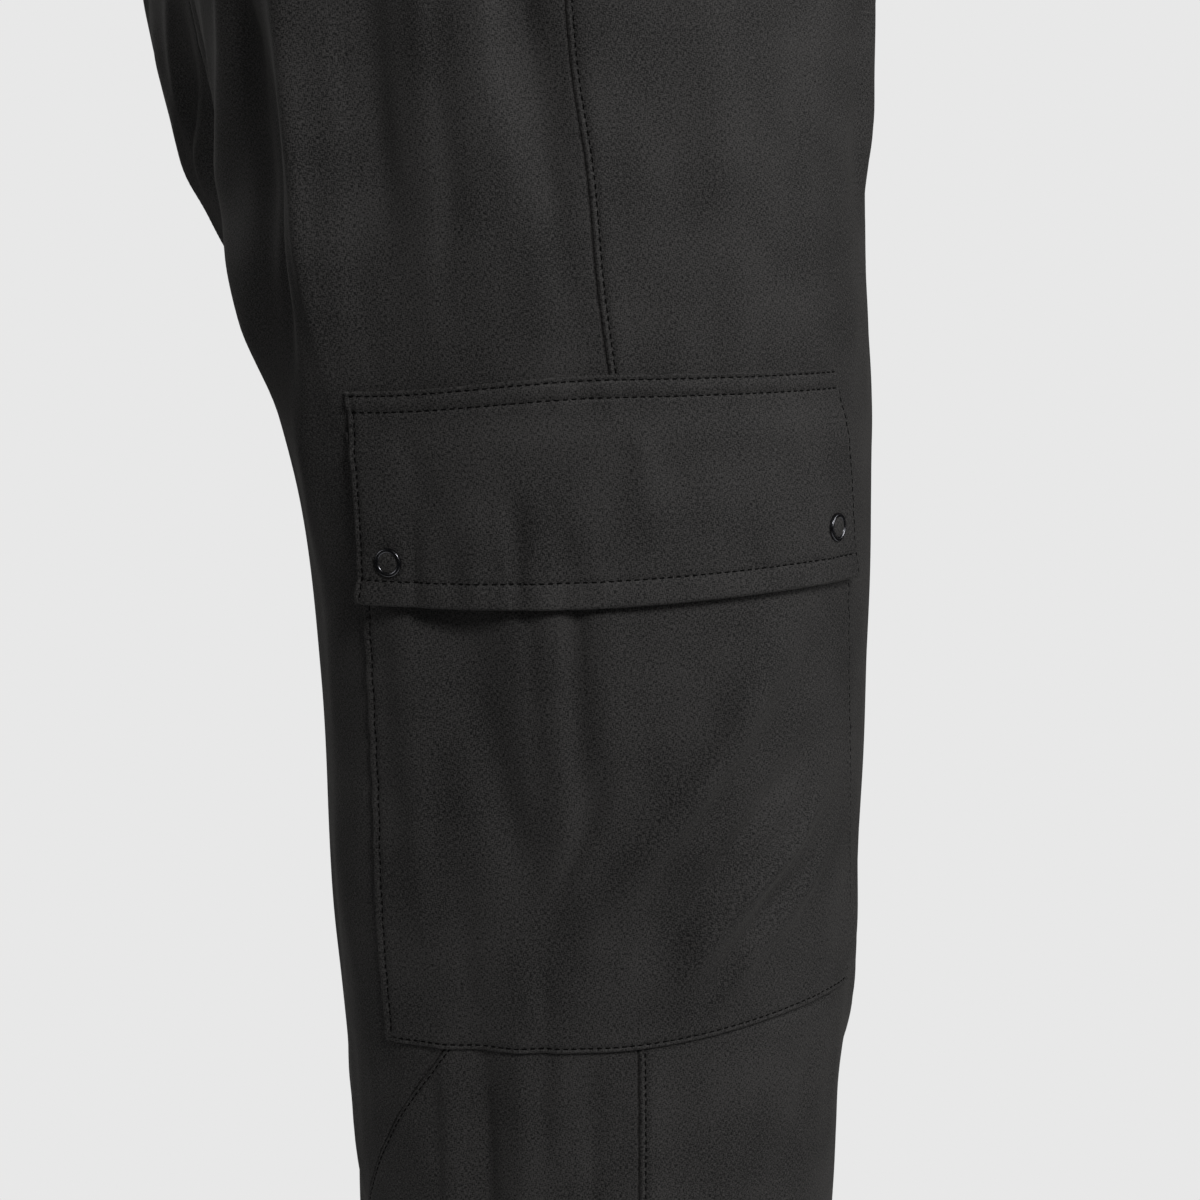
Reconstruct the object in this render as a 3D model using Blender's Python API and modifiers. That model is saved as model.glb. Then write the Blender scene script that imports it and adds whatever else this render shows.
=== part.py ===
"""Gym trousers with a cargo pocket on each outer leg, worn, so that they keep the hollow form of a
standing figure. Metres, +Z up. The wearer faces -Y and the wearer's left is +X. The origin is the
middle of the waist opening, where the wearer's waist holds the trousers up.

The cloth is one surface: a rounded section for each leg at every height, which the plane x = 0 cuts
above the crotch, so that the two halves meet in a front rise and a seat seam. Every piece is a patch
of that surface, a grid of points with a Solidify modifier, and what lies on a panel is a patch of
the same surface moved out. An angle goes round the leg from 0 at its outer side through +90 at its
front and -90 at its back to 180 at its inner side."""

import math

import bpy
import numpy as np

LEFT, RIGHT = 1, -1

CLOTH = 0.0012  # wall of the woven main cloth
BAND = 0.0026  # waistband, the cloth doubled over a flat elastic
SEAM_GAP = 0.0004  # between pieces that are sewn edge to edge
PATCH_GAP = 0.0006  # between a panel and the inner face of what is sewn on it

WAIST = 0.0
BAND_FOOT = -0.040
CROTCH = -0.268
HEM = -1.020
ROUNDNESS = 0.93  # power on sine and cosine: 1 is an ellipse, less is squarer

# Sections of one leg. outer: x of its outer side; half: half its width; middle: y of its centre;
# front and back: its depth each way; front_fill and back_fill: power that flattens the stretch
# between the two legs above the crotch, where 1 leaves the full valley.
SECTION_COLUMNS = ("height", "outer", "half", "middle", "front", "back", "front_fill", "back_fill")
SECTIONS = (
    (0.000, 0.152, 0.152, 0.000, 0.108, 0.112, 0.30, 0.60),
    (-0.060, 0.168, 0.156, -0.003, 0.122, 0.120, 0.30, 0.60),
    (-0.110, 0.180, 0.146, -0.006, 0.133, 0.128, 0.30, 0.60),
    (-0.160, 0.189, 0.132, -0.008, 0.131, 0.122, 0.30, 0.60),
    (-0.200, 0.1918, 0.119, -0.010, 0.1265, 0.1165, 0.45, 0.70),
    (-0.235, 0.1926, 0.106, -0.008, 0.1265, 0.108, 0.70, 0.90),
    (-0.268, 0.1922, 0.0959, -0.006, 0.1280, 0.104, 1.00, 1.00),
    (-0.300, 0.1905, 0.0918, -0.003, 0.1240, 0.102, 1.00, 1.00),
    (-0.350, 0.187, 0.088, 0.000, 0.1145, 0.101, 1.00, 1.00),
    (-0.420, 0.181, 0.085, 0.000, 0.106, 0.1013, 1.00, 1.00),
    (-0.500, 0.174, 0.081, 0.001, 0.103, 0.099, 1.00, 1.00),
    (-0.560, 0.169, 0.0775, 0.002, 0.0985, 0.095, 1.00, 1.00),
    (-0.620, 0.164, 0.074, 0.003, 0.0965, 0.0905, 1.00, 1.00),
    (-0.740, 0.156, 0.067, 0.008, 0.084, 0.081, 1.00, 1.00),
    (-0.870, 0.149, 0.060, 0.014, 0.072, 0.071, 1.00, 1.00),
    (-1.020, 0.143, 0.054, 0.018, 0.062, 0.062, 1.00, 1.00),
)

# The outer seam lies a little in front of the leg's outer side, as the back panel is the wider one.
OUTSEAM_COLUMNS = ("height", "angle")
OUTSEAM = (
    (0.000, 15.0),
    (-0.170, 13.5),
    (-0.230, 11.2),
    (-0.300, 10.0),
    (-0.547, 5.5),
    (-0.700, 4.5),
    (-1.020, 4.0),
)
INSEAM_LEAN = 7.0  # degrees that the inner seam comes forward, reached this far below the crotch:
INSEAM_LEAN_DEPTH = 0.100

# The seam that slants across the front of the knee, from the outer seam behind the pocket down to
# the inner seam: how far round the front panel, from 0 at the outer seam to 1 at the inner seam.
KNEE_SEAM_COLUMNS = ("across", "height")
KNEE_SEAM = (
    (0.00, -0.470),
    (0.15, -0.511),
    (0.26, -0.547),
    (0.36, -0.577),
    (0.47, -0.614),
    (0.65, -0.655),
    (1.00, -0.690),
)

# Large folds of the worn cloth, each a soft ridge (rise above 0) or trough along a straight line
# on the leg, from its first angle and height to its second, as wide as its reach to either side.
FOLD_COLUMNS = ("angle_1", "height_1", "angle_2", "height_2", "reach", "rise")
FOLDS = (
    (66, -0.090, 72, -0.640, 0.026, 0.0050),  # squarer corner between the outer side and the front
    (62, -0.120, 62, -0.300, 0.010, 0.0035),  # ridge down the front of the thigh
    (62, -0.265, 86, -0.385, 0.011, 0.0030),  # its lower end, which runs off to the front
    (79, -0.130, 76, -0.330, 0.014, -0.0050),  # hollow plane in front of that ridge
    (74, -0.130, 102, -0.250, 0.010, 0.0040),  # ridge from the front rise towards the crotch
    (106, -0.205, 92, -0.320, 0.016, 0.0055),
    (122, -0.120, 103, -0.270, 0.009, -0.0035),  # folds that run together above the crotch
    (138, -0.130, 112, -0.262, 0.008, 0.0025),
    (41, -0.080, 43, -0.310, 0.009, -0.0035),  # long hollow in the front panel
    (15, -0.100, 13, -0.228, 0.007, -0.0025),  # hollow that ends at the outer seam
    (-6, -0.110, -16, -0.260, 0.014, 0.0015),
    (-38, -0.110, -62, -0.250, 0.010, 0.0030),  # ridge beside the seat
    (-50, -0.110, -80, -0.262, 0.011, -0.0040),
    (-92, -0.235, -140, -0.350, 0.016, -0.0045),  # drag line below the seat
    (-70, -0.290, -125, -0.400, 0.018, 0.0030),
    (-35, -0.400, 5, -0.500, 0.016, 0.0015),
    (38, -0.530, 38, -0.680, 0.011, -0.0025),  # hollow below the pocket
    (118, -0.560, 62, -0.700, 0.016, -0.0030),  # folds across the shin, below the knee
    (100, -0.670, 30, -0.800, 0.018, 0.0025),
    (-60, -0.560, -130, -0.640, 0.018, -0.0045),  # folds behind the knee
    (-140, -0.600, -60, -0.700, 0.018, 0.0035),
    (-50, -0.700, -120, -0.800, 0.018, -0.0030),
    (140, -0.840, 60, -0.930, 0.018, 0.0025),
    (-120, -0.860, -40, -0.950, 0.018, 0.0025),
)
FOLD_RADIUS = 0.095  # radius that turns an angle on the leg into a length along it
FOLD_CLEAR = 0.022  # folds fade out over this distance from the plane x = 0

# The wearer's right leg stands a little behind the left one.
STEP_BACK = 0.052
STEP_LEAN = 0.016
STEP_DEPTH = 0.200  # height over which the leg swings back
STEP_RISE = 0.135  # how much higher that starts at the hip than at the crotch
STEP_WIDTH = 0.090

POCKET_TOP, POCKET_FOOT = -0.3215, -0.547
POCKET_FRONT = 0.096  # its edges, as distances round the leg from the outer seam
POCKET_BACK_TOP, POCKET_BACK_FOOT = 0.094, 0.105
POCKET_BACK_RAISE = 0.011  # its back lower corner is higher than the front one
POCKET_PUFF = 0.0026
FLAP_TOP, FLAP_FOOT = -0.3005, -0.3825
FLAP_FRONT = 0.0940
FLAP_BACK_TOP, FLAP_BACK_FOOT = 0.0965, 0.0975
FLAP_CORNER_DROP = 0.0065  # its sewn edge falls by this towards the front
FLAP_BACK_RAISE = 0.0048  # its foot rises by this towards the back
FLAP_SEWN = 0.009  # depth of the strip that is sewn down on the panel
FLAP_LIFT = 0.0014  # how far its free edge stands off the pocket
FLAP_FRONT_LIFT = 0.0036  # how much more its front edge does
LAYER_GAP = 0.0005  # between the pocket's outer face and the flap's inner face

# Rows and columns of points in the grids of the panels.
RISE_ROWS, THIGH_ROWS, SHIN_ROWS = 13, 12, 17
FRONT_COLUMNS, BACK_COLUMNS = 19, 22

SNAP_RADIUS = 0.0043
SNAP_WIRE = 0.0009
SNAP_SEAT = 0.0004
SNAP_COLUMNS = ("place", "distance", "height")
SNAPS = (
    ("front", 0.0820, -0.3670),
    ("back", -0.0835, -0.3580),
)


def column(table, columns, name):
    """One column of a table as an array, in order of rising height or share."""
    values = np.array([row[columns.index(name)] for row in table], float)
    keys = np.array([row[0] for row in table], float)
    return values[np.argsort(keys)]


def smooth_through(table, columns, name, at):
    """Smooth curve through one column of a table, read at the key column's value `at`. The slope at
    each row is the mean of the slopes on its two sides, each weighted by the other side's length."""
    keys = column(table, columns, columns[0])
    values = column(table, columns, name)
    lengths = np.diff(keys)
    slopes = np.diff(values) / lengths
    inner = slopes[:-1] * lengths[1:] + slopes[1:] * lengths[:-1]
    tangents = np.concatenate([slopes[:1], inner / (lengths[:-1] + lengths[1:]), slopes[-1:]])
    at = np.clip(np.asarray(at, float), keys[0], keys[-1])
    i = np.clip(np.searchsorted(keys, at, side="right") - 1, 0, len(lengths) - 1)
    t = (at - keys[i]) / lengths[i]
    start = (2 * t**3 - 3 * t**2 + 1) * values[i] + (t**3 - 2 * t**2 + t) * lengths[i] * tangents[i]
    end = (3 * t**2 - 2 * t**3) * values[i + 1] + (t**3 - t**2) * lengths[i] * tangents[i + 1]
    return start + end


def section(name, height):
    return smooth_through(SECTIONS, SECTION_COLUMNS, name, height)


def ease(share):
    """0 to 1 along a smooth S, flat at both ends."""
    share = np.clip(share, 0.0, 1.0)
    return share * share * (3 - 2 * share)


def blend(start, end, share):
    return start + (end - start) * share


def signed_power(value, power):
    return np.sign(value) * np.abs(value) ** power


def fold_height(angle, height, x):
    """Sum of the folds: for each, a bell curve of the distance to its line, faded at both ends."""
    total = np.zeros_like(height)
    for angle_1, height_1, angle_2, height_2, reach, rise in FOLDS:
        start = np.array([math.radians(angle_1) * FOLD_RADIUS, height_1])
        along = np.array([math.radians(angle_2) * FOLD_RADIUS, height_2]) - start
        length = np.linalg.norm(along)
        along /= length
        round_leg = angle * FOLD_RADIUS - start[0]
        down = height - start[1]
        share = (round_leg * along[0] + down * along[1]) / length
        off = round_leg * along[1] - down * along[0]
        fade = ease(np.minimum(share, 1 - share) / 0.3)
        total += rise * np.exp(-((off / reach) ** 2)) * fade
    return total * ease(np.abs(x) / FOLD_CLEAR)


def step_back(x, height):
    """How far the right leg stands behind the left one, none above a line from crotch to hip."""
    start = CROTCH + 0.006 + STEP_RISE * np.clip(np.abs(x) / STEP_WIDTH, 0, 1)
    swing = ease((start - height) / STEP_DEPTH)
    return STEP_BACK * swing + STEP_LEAN * np.clip(-0.4 - height, 0, None) / 0.6


def surface(angle, height, side=LEFT, out=0.0):
    """Points of the cloth's outer face at these angles (radians) and heights, moved out by `out`."""
    angle, height = np.broadcast_arrays(np.asarray(angle, float), np.asarray(height, float))
    half = section("half", height)
    centre = section("outer", height) - half
    cosine, sine = np.cos(angle), np.sin(angle)
    in_front = sine >= 0
    depth = np.where(in_front, section("front", height), section("back", height))
    fill = np.where(in_front, section("front_fill", height), section("back_fill", height))
    power = ROUNDNESS * np.where(cosine < 0, fill, 1.0)
    x = centre + half * signed_power(cosine, ROUNDNESS)
    y = section("middle", height) - depth * signed_power(sine, power)
    normal = np.stack([cosine / half, -sine / depth], -1)
    normal /= np.linalg.norm(normal, axis=-1, keepdims=True)
    move = out + fold_height(angle, height, x)
    x = x + normal[..., 0] * move
    y = y + normal[..., 1] * move
    if side == RIGHT:
        y = y + step_back(x, height)
        x = -x
    return np.stack([x, y, height], -1)


def centre_angle(height):
    """Angle at which the section meets the plane x = 0 above the crotch, half a seam gap off it."""
    half = section("half", height)
    share = (section("outer", height) - half - SEAM_GAP / 2) / half
    return np.arccos(-np.clip(share, 0, 1) ** (1 / ROUNDNESS))


def outseam_angle(height):
    return np.radians(smooth_through(OUTSEAM, OUTSEAM_COLUMNS, "angle", height))


def inner_angle(height, front):
    """Angle of the front or back panel's inner edge: the centre seam, then the inner seam."""
    lean = math.radians(INSEAM_LEAN) * ease((CROTCH - height) / INSEAM_LEAN_DEPTH)
    gap = SEAM_GAP / 2 / section("half", height)
    above = centre_angle(height)
    below = math.pi - lean - gap if front else -math.pi - lean + gap
    return np.where(height > CROTCH, above if front else -above, below)


def panel(across, height, front):
    """Angles on a front or back panel, from across 0 at the outer seam to 1 at its inner edge."""
    gap = SEAM_GAP / 2 / section("half", height)
    outer = outseam_angle(height) + (gap if front else -gap)
    return blend(outer, inner_angle(height, front), across)


def angle_at(distance, height):
    """Angle whose distance round the leg from the outer seam, positive to the front, is this."""
    angles = np.radians(np.linspace(-150, 150, 301))
    distance, height = np.broadcast_arrays(np.asarray(distance, float), np.asarray(height, float))
    found = np.empty(distance.shape)
    for i in np.ndindex(distance.shape):
        half = section("half", height[i])
        depth = np.where(angles >= 0, section("front", height[i]), section("back", height[i]))
        x = half * signed_power(np.cos(angles), ROUNDNESS)
        y = depth * signed_power(np.sin(angles), ROUNDNESS)
        lengths = np.concatenate([[0], np.cumsum(np.hypot(np.diff(x), np.diff(y)))])
        seam = np.interp(outseam_angle(height[i]), angles, lengths)
        found[i] = np.interp(seam + distance[i], lengths, angles)
    return found


def knee_seam_height(across):
    return smooth_through(KNEE_SEAM, KNEE_SEAM_COLUMNS, "height", across)


def rise_heights():
    """Heights from the waistband's foot to the crotch, closer together towards the crotch."""
    share = np.linspace(0, 1, RISE_ROWS)
    return blend(BAND_FOOT - SEAM_GAP, CROTCH, 1 - (1 - share) ** 1.7)[:, None]


def thigh_heights(across):
    """Rows of the front panel between the crotch and the knee seam, the crotch left out."""
    foot = knee_seam_height(across) + SEAM_GAP / 2
    return blend(CROTCH, foot, np.linspace(0, 1, THIGH_ROWS)[1:, None])


def shin_heights(across):
    """Rows of the front panel from the knee seam down to the hem."""
    top = knee_seam_height(across) - SEAM_GAP / 2
    return blend(top, HEM, np.linspace(0, 1, SHIN_ROWS)[:, None])


def make_material(name, colour, roughness, metallic=0.0):
    material = bpy.data.materials.new(name)
    material.diffuse_color = (*colour, 1.0)
    material.use_nodes = True
    shader = material.node_tree.nodes["Principled BSDF"]
    shader.inputs["Base Color"].default_value = (*colour, 1.0)
    shader.inputs["Roughness"].default_value = roughness
    shader.inputs["Metallic"].default_value = metallic
    return material


def make_sheet(name, points, material, thickness=CLOTH, flip=False, ring=False):
    """A grid of points (rows, columns, xyz) as an open surface, or a ring closed along its columns,
    with a Solidify modifier that adds the wall on its inner side."""
    rows, columns = points.shape[:2]
    last = columns if ring else columns - 1
    faces = []
    for row in range(rows - 1):
        for col in range(last):
            after = (col + 1) % columns
            corners = [
                row * columns + col,
                (row + 1) * columns + col,
                (row + 1) * columns + after,
                row * columns + after,
            ]
            faces.append(corners[::-1] if flip else corners)
    mesh = bpy.data.meshes.new(name)
    mesh.from_pydata(points.reshape(-1, 3).tolist(), [], faces)
    mesh.materials.append(material)
    mesh.shade_smooth()
    piece = bpy.data.objects.new(name, mesh)
    parts.objects.link(piece)
    wall = piece.modifiers.new("Wall", "SOLIDIFY")
    wall.thickness = thickness
    wall.offset = -1.0
    wall.use_even_offset = True
    wall.use_quality_normals = True
    return piece


def waistband():
    """Elastic waistband: a closed ring above all the panels."""
    share = np.linspace(-1, 1, 27)[:-1]
    height = np.linspace(WAIST, BAND_FOOT, 4)[:, None]
    half = section("half", height)
    centre = section("outer", height) - half
    edge = np.arccos(-((centre / half) ** (1 / ROUNDNESS)))
    left = surface(share * edge, height, LEFT, out=0.0006)
    right = surface(-share * edge, height, RIGHT, out=0.0006)
    ring = np.concatenate([left, right], axis=1)
    colour = (0.030, 0.030, 0.029)
    material = make_material("waistband_cloth", colour, 0.85)
    make_sheet("waistband", ring, material, BAND, flip=True, ring=True)


def front_upper(side, suffix):
    """Front panel from the waistband down to the slanting knee seam."""
    across = np.linspace(0, 1, FRONT_COLUMNS)[None, :]
    rise = np.repeat(rise_heights(), FRONT_COLUMNS, axis=1)
    height = np.concatenate([rise, thigh_heights(across)])
    points = surface(panel(across, height, True), height, side)
    material = make_material("front_upper_cloth_" + suffix, (0.033, 0.033, 0.032), 0.85)
    make_sheet("front_upper_" + suffix, points, material, flip=side == LEFT)


def front_lower(side, suffix):
    """Front panel of the lower leg, from the knee seam to the hem."""
    across = np.linspace(0, 1, FRONT_COLUMNS)[None, :]
    height = shin_heights(across)
    points = surface(panel(across, height, True), height, side)
    material = make_material("front_lower_cloth_" + suffix, (0.031, 0.031, 0.030), 0.85)
    make_sheet("front_lower_" + suffix, points, material, flip=side == LEFT)


def back_panel(side, suffix):
    """Back panel, in one piece from the waistband to the hem. Its rows meet the front panels' rows
    at the outer and the inner seam."""
    across = np.linspace(0, 1, BACK_COLUMNS)[None, :]
    ends = np.array([[0.0, 1.0]])
    thigh, shin = thigh_heights(ends), shin_heights(ends)
    rows = np.concatenate([np.repeat(rise_heights(), 2, axis=1), thigh, shin[1:]])
    height = blend(rows[:, :1], rows[:, 1:], across)
    points = surface(panel(across, height, False), height, side)
    material = make_material("back_cloth_" + suffix, (0.034, 0.034, 0.033), 0.85)
    make_sheet("back_" + suffix, points, material, flip=side == RIGHT)


def pocket_out(across, down):
    """How far the pocket's outer face stands off the panel: more in its middle, least at the seams
    on its two sides and foot."""
    middle = (4 * across * (1 - across)) ** 0.7 * (1 - down**3)
    return PATCH_GAP + CLOTH + POCKET_PUFF * middle


def pocket(side, suffix):
    """Cargo pocket: a patch sewn on over the outer seam, from across 0 at its front edge."""
    across = np.linspace(0, 1, 17)[None, :]
    down = np.linspace(0, 1, 12)[:, None]
    foot = POCKET_FOOT + POCKET_BACK_RAISE * ease((across - 0.4) / 0.6)
    height = blend(POCKET_TOP, foot, down)
    back = blend(POCKET_BACK_TOP, POCKET_BACK_FOOT, down)
    distance = blend(POCKET_FRONT, -back, across)
    points = surface(angle_at(distance, height), height, side, pocket_out(across, down))
    material = make_material("pocket_cloth_" + suffix, (0.036, 0.036, 0.035), 0.85)
    make_sheet("pocket_" + suffix, points, material, flip=side == RIGHT)


def flap_patch(across, drop):
    """Distances round the leg, heights and stand-off of the flap's outer face. across goes from 0
    at its front edge to 1 at its back edge, and drop is the depth below its sewn edge."""
    depth = FLAP_TOP - FLAP_FOOT
    down = drop / depth
    distance = blend(FLAP_FRONT, -blend(FLAP_BACK_TOP, FLAP_BACK_FOOT, down), across)
    corner = FLAP_CORNER_DROP * (1 - ease(across / 0.5)) * (1 - down)
    raised = FLAP_BACK_RAISE * ease((across - 0.3) / 0.7) * down
    height = FLAP_TOP - drop - corner + raised
    over = np.clip((POCKET_TOP - height) / (POCKET_TOP - POCKET_FOOT), 0, 1)
    free = ease((drop - FLAP_SEWN) / 0.004)
    on_panel = PATCH_GAP + CLOTH
    lift = FLAP_LIFT + FLAP_FRONT_LIFT * ease(1 - across / 0.35)
    on_pocket = pocket_out(across, over) + LAYER_GAP + CLOTH + lift * ease(down)
    return distance, height, blend(on_panel, on_pocket, free)


def flap(side, suffix):
    """Pocket flap, sewn along its top and snapped down over the pocket's mouth."""
    across = np.linspace(0, 1, 17)[None, :]
    drops = np.concatenate([[0, FLAP_SEWN, FLAP_SEWN + 0.004], np.linspace(0.028, FLAP_TOP - FLAP_FOOT, 5)])
    distance, height, out = flap_patch(across, drops[:, None])
    points = surface(angle_at(distance, height), height, side, out)
    material = make_material("flap_cloth_" + suffix, (0.035, 0.035, 0.034), 0.85)
    make_sheet("pocket_flap_" + suffix, points, material, flip=side == RIGHT)


def snap(side, suffix, place, distance, height):
    """Ring of a snap fastener, crimped on the flap near a lower corner."""
    back = blend(FLAP_BACK_TOP, FLAP_BACK_FOOT, (FLAP_TOP - height) / (FLAP_TOP - FLAP_FOOT))
    across = (FLAP_FRONT - distance) / (FLAP_FRONT + back)
    drop = FLAP_TOP - height
    for _ in range(4):
        drop += flap_patch(across, drop)[1] - height
    out = flap_patch(across, drop)[2]
    step = 0.002
    round_leg = [surface(angle_at(distance + d, height), height, side, out) for d in (-step, step)]
    up_leg = [surface(angle_at(distance, height + d), height + d, side, out) for d in (-step, step)]
    normal = np.cross(round_leg[1] - round_leg[0], up_leg[1] - up_leg[0])
    normal /= np.linalg.norm(normal)
    normal *= np.sign(normal[0] * side)
    seat = surface(angle_at(distance, height), height, side, out)
    middle = seat + normal * (SNAP_WIRE + SNAP_SEAT)
    yaw = math.atan2(normal[1], normal[0])
    pitch = math.acos(normal[2])
    bpy.ops.mesh.primitive_torus_add(
        major_radius=SNAP_RADIUS,
        minor_radius=SNAP_WIRE,
        major_segments=18,
        minor_segments=6,
        location=middle.tolist(),
        rotation=(0, pitch, yaw),
    )
    ring = bpy.context.object
    ring.name = "snap_" + place + "_" + suffix
    ring.data.name = ring.name
    ring.data.shade_smooth()
    material = make_material("snap_metal_" + place + "_" + suffix, (0.05, 0.05, 0.05), 0.25, 1.0)
    ring.data.materials.append(material)
    for owner in list(ring.users_collection):
        owner.objects.unlink(ring)
    parts.objects.link(ring)


for leftover in list(bpy.data.objects):
    bpy.data.objects.remove(leftover, do_unlink=True)
parts = bpy.data.collections.new("gym_trousers")
bpy.context.scene.collection.children.link(parts)

waistband()
for leg, leg_name in ((LEFT, "left"), (RIGHT, "right")):
    front_upper(leg, leg_name)
    front_lower(leg, leg_name)
    back_panel(leg, leg_name)
    pocket(leg, leg_name)
    flap(leg, leg_name)
    for snap_place, snap_distance, snap_height in SNAPS:
        snap(leg, leg_name, snap_place, snap_distance, snap_height)
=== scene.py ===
"""Gym trousers, dressed: stretch woven cloth cut in panels, topstitched seams, cargo pockets with snapped
flaps, an elastic waistband. Metres, in the CAD model's frame, with the sections in sewing order."""

import math
from functools import partial

import bpy
import numpy as np
from mathutils import Matrix, Vector


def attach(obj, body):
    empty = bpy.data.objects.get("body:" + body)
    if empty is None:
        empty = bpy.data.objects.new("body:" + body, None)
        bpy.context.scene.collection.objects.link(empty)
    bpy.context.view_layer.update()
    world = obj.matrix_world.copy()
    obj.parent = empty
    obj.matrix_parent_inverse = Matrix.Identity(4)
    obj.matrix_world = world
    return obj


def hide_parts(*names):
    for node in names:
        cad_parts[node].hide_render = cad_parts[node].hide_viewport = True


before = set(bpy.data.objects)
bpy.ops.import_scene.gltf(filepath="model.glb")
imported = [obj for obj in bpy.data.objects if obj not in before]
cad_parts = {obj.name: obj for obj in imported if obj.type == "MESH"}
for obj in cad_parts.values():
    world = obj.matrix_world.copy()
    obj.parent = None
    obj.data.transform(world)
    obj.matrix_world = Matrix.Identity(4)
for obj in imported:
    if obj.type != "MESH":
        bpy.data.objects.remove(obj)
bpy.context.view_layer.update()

# ---------------------------------------------------------------------------------------------
# Front panels of the thigh: thin four-way-stretch woven polyester, cut from the waistband down to
# the seam that slants over the knee. The wearer's leg fills them, so they hang in long soft folds
# from hip and crotch. The same surface carries every later piece, so its form is worked out here.
# ---------------------------------------------------------------------------------------------
LEFT, RIGHT = 1, -1
LEGS = ((LEFT, "left"), (RIGHT, "right"))
CLOTH = 0.0010
SEAM_GAP = 0.0004
WAIST, BAND_FOOT, CROTCH, HEM = 0.0, -0.040, -0.268, -1.020
ROUNDNESS = 0.93

SECTION_COLUMNS = ("height", "outer", "half", "middle", "front", "back", "front_fill", "back_fill")
SECTIONS = (
    (0.000, 0.152, 0.152, 0.000, 0.108, 0.112, 0.30, 0.60),
    (-0.060, 0.168, 0.156, -0.003, 0.122, 0.120, 0.30, 0.60),
    (-0.110, 0.180, 0.146, -0.006, 0.133, 0.128, 0.30, 0.60),
    (-0.160, 0.189, 0.132, -0.008, 0.131, 0.122, 0.30, 0.60),
    (-0.200, 0.1918, 0.119, -0.010, 0.1265, 0.1165, 0.45, 0.70),
    (-0.235, 0.1926, 0.106, -0.008, 0.1265, 0.108, 0.70, 0.90),
    (-0.268, 0.1922, 0.0959, -0.006, 0.1280, 0.104, 1.00, 1.00),
    (-0.300, 0.1905, 0.0918, -0.003, 0.1240, 0.102, 1.00, 1.00),
    (-0.350, 0.187, 0.088, 0.000, 0.1145, 0.101, 1.00, 1.00),
    (-0.420, 0.181, 0.085, 0.000, 0.106, 0.1013, 1.00, 1.00),
    (-0.500, 0.174, 0.081, 0.001, 0.103, 0.099, 1.00, 1.00),
    (-0.560, 0.169, 0.0775, 0.002, 0.0985, 0.095, 1.00, 1.00),
    (-0.620, 0.164, 0.074, 0.003, 0.0965, 0.0905, 1.00, 1.00),
    (-0.740, 0.156, 0.067, 0.008, 0.084, 0.081, 1.00, 1.00),
    (-0.870, 0.149, 0.060, 0.014, 0.072, 0.071, 1.00, 1.00),
    (-1.020, 0.143, 0.054, 0.018, 0.062, 0.062, 1.00, 1.00),
)
OUTSEAM_COLUMNS = ("height", "angle")
OUTSEAM = (
    (0.000, 15.0),
    (-0.170, 13.5),
    (-0.230, 11.2),
    (-0.300, 10.0),
    (-0.547, 5.5),
    (-0.700, 4.5),
    (-1.020, 4.0),
)
INSEAM_LEAN, INSEAM_LEAN_DEPTH = 7.0, 0.100
KNEE_SEAM_COLUMNS = ("across", "height")
KNEE_SEAM = (
    (0.00, -0.470),
    (0.15, -0.511),
    (0.26, -0.547),
    (0.36, -0.577),
    (0.47, -0.614),
    (0.65, -0.655),
    (1.00, -0.690),
)
# The large folds that the solids have too: angle and height at both ends, reach, rise.
FOLDS = (
    (66, -0.090, 72, -0.640, 0.026, 0.0050),
    (62, -0.120, 62, -0.300, 0.010, 0.0035),
    (62, -0.265, 86, -0.385, 0.011, 0.0030),
    (79, -0.130, 76, -0.330, 0.014, -0.0050),
    (74, -0.130, 102, -0.250, 0.010, 0.0040),
    (106, -0.205, 92, -0.320, 0.016, 0.0055),
    (122, -0.120, 103, -0.270, 0.009, -0.0035),
    (138, -0.130, 112, -0.262, 0.008, 0.0025),
    (41, -0.080, 43, -0.310, 0.009, -0.0035),
    (15, -0.100, 13, -0.228, 0.007, -0.0025),
    (-6, -0.110, -16, -0.260, 0.014, 0.0015),
    (-38, -0.110, -62, -0.250, 0.010, 0.0030),
    (-50, -0.110, -80, -0.262, 0.011, -0.0040),
    (-92, -0.235, -140, -0.350, 0.016, -0.0045),
    (-70, -0.290, -125, -0.400, 0.018, 0.0030),
    (-35, -0.400, 5, -0.500, 0.016, 0.0015),
    (38, -0.530, 38, -0.680, 0.011, -0.0025),
    (118, -0.560, 62, -0.700, 0.016, -0.0030),
    (100, -0.670, 30, -0.800, 0.018, 0.0025),
    (-60, -0.560, -130, -0.640, 0.018, -0.0045),
    (-140, -0.600, -60, -0.700, 0.018, 0.0035),
    (-50, -0.700, -120, -0.800, 0.018, -0.0030),
    (140, -0.840, 60, -0.930, 0.018, 0.0025),
    (-120, -0.860, -40, -0.950, 0.018, 0.0025),
)
FOLD_RADIUS, FOLD_CLEAR = 0.095, 0.022
STEP_BACK, STEP_LEAN, STEP_DEPTH, STEP_RISE, STEP_WIDTH = 0.052, 0.016, 0.200, 0.135, 0.090

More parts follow.
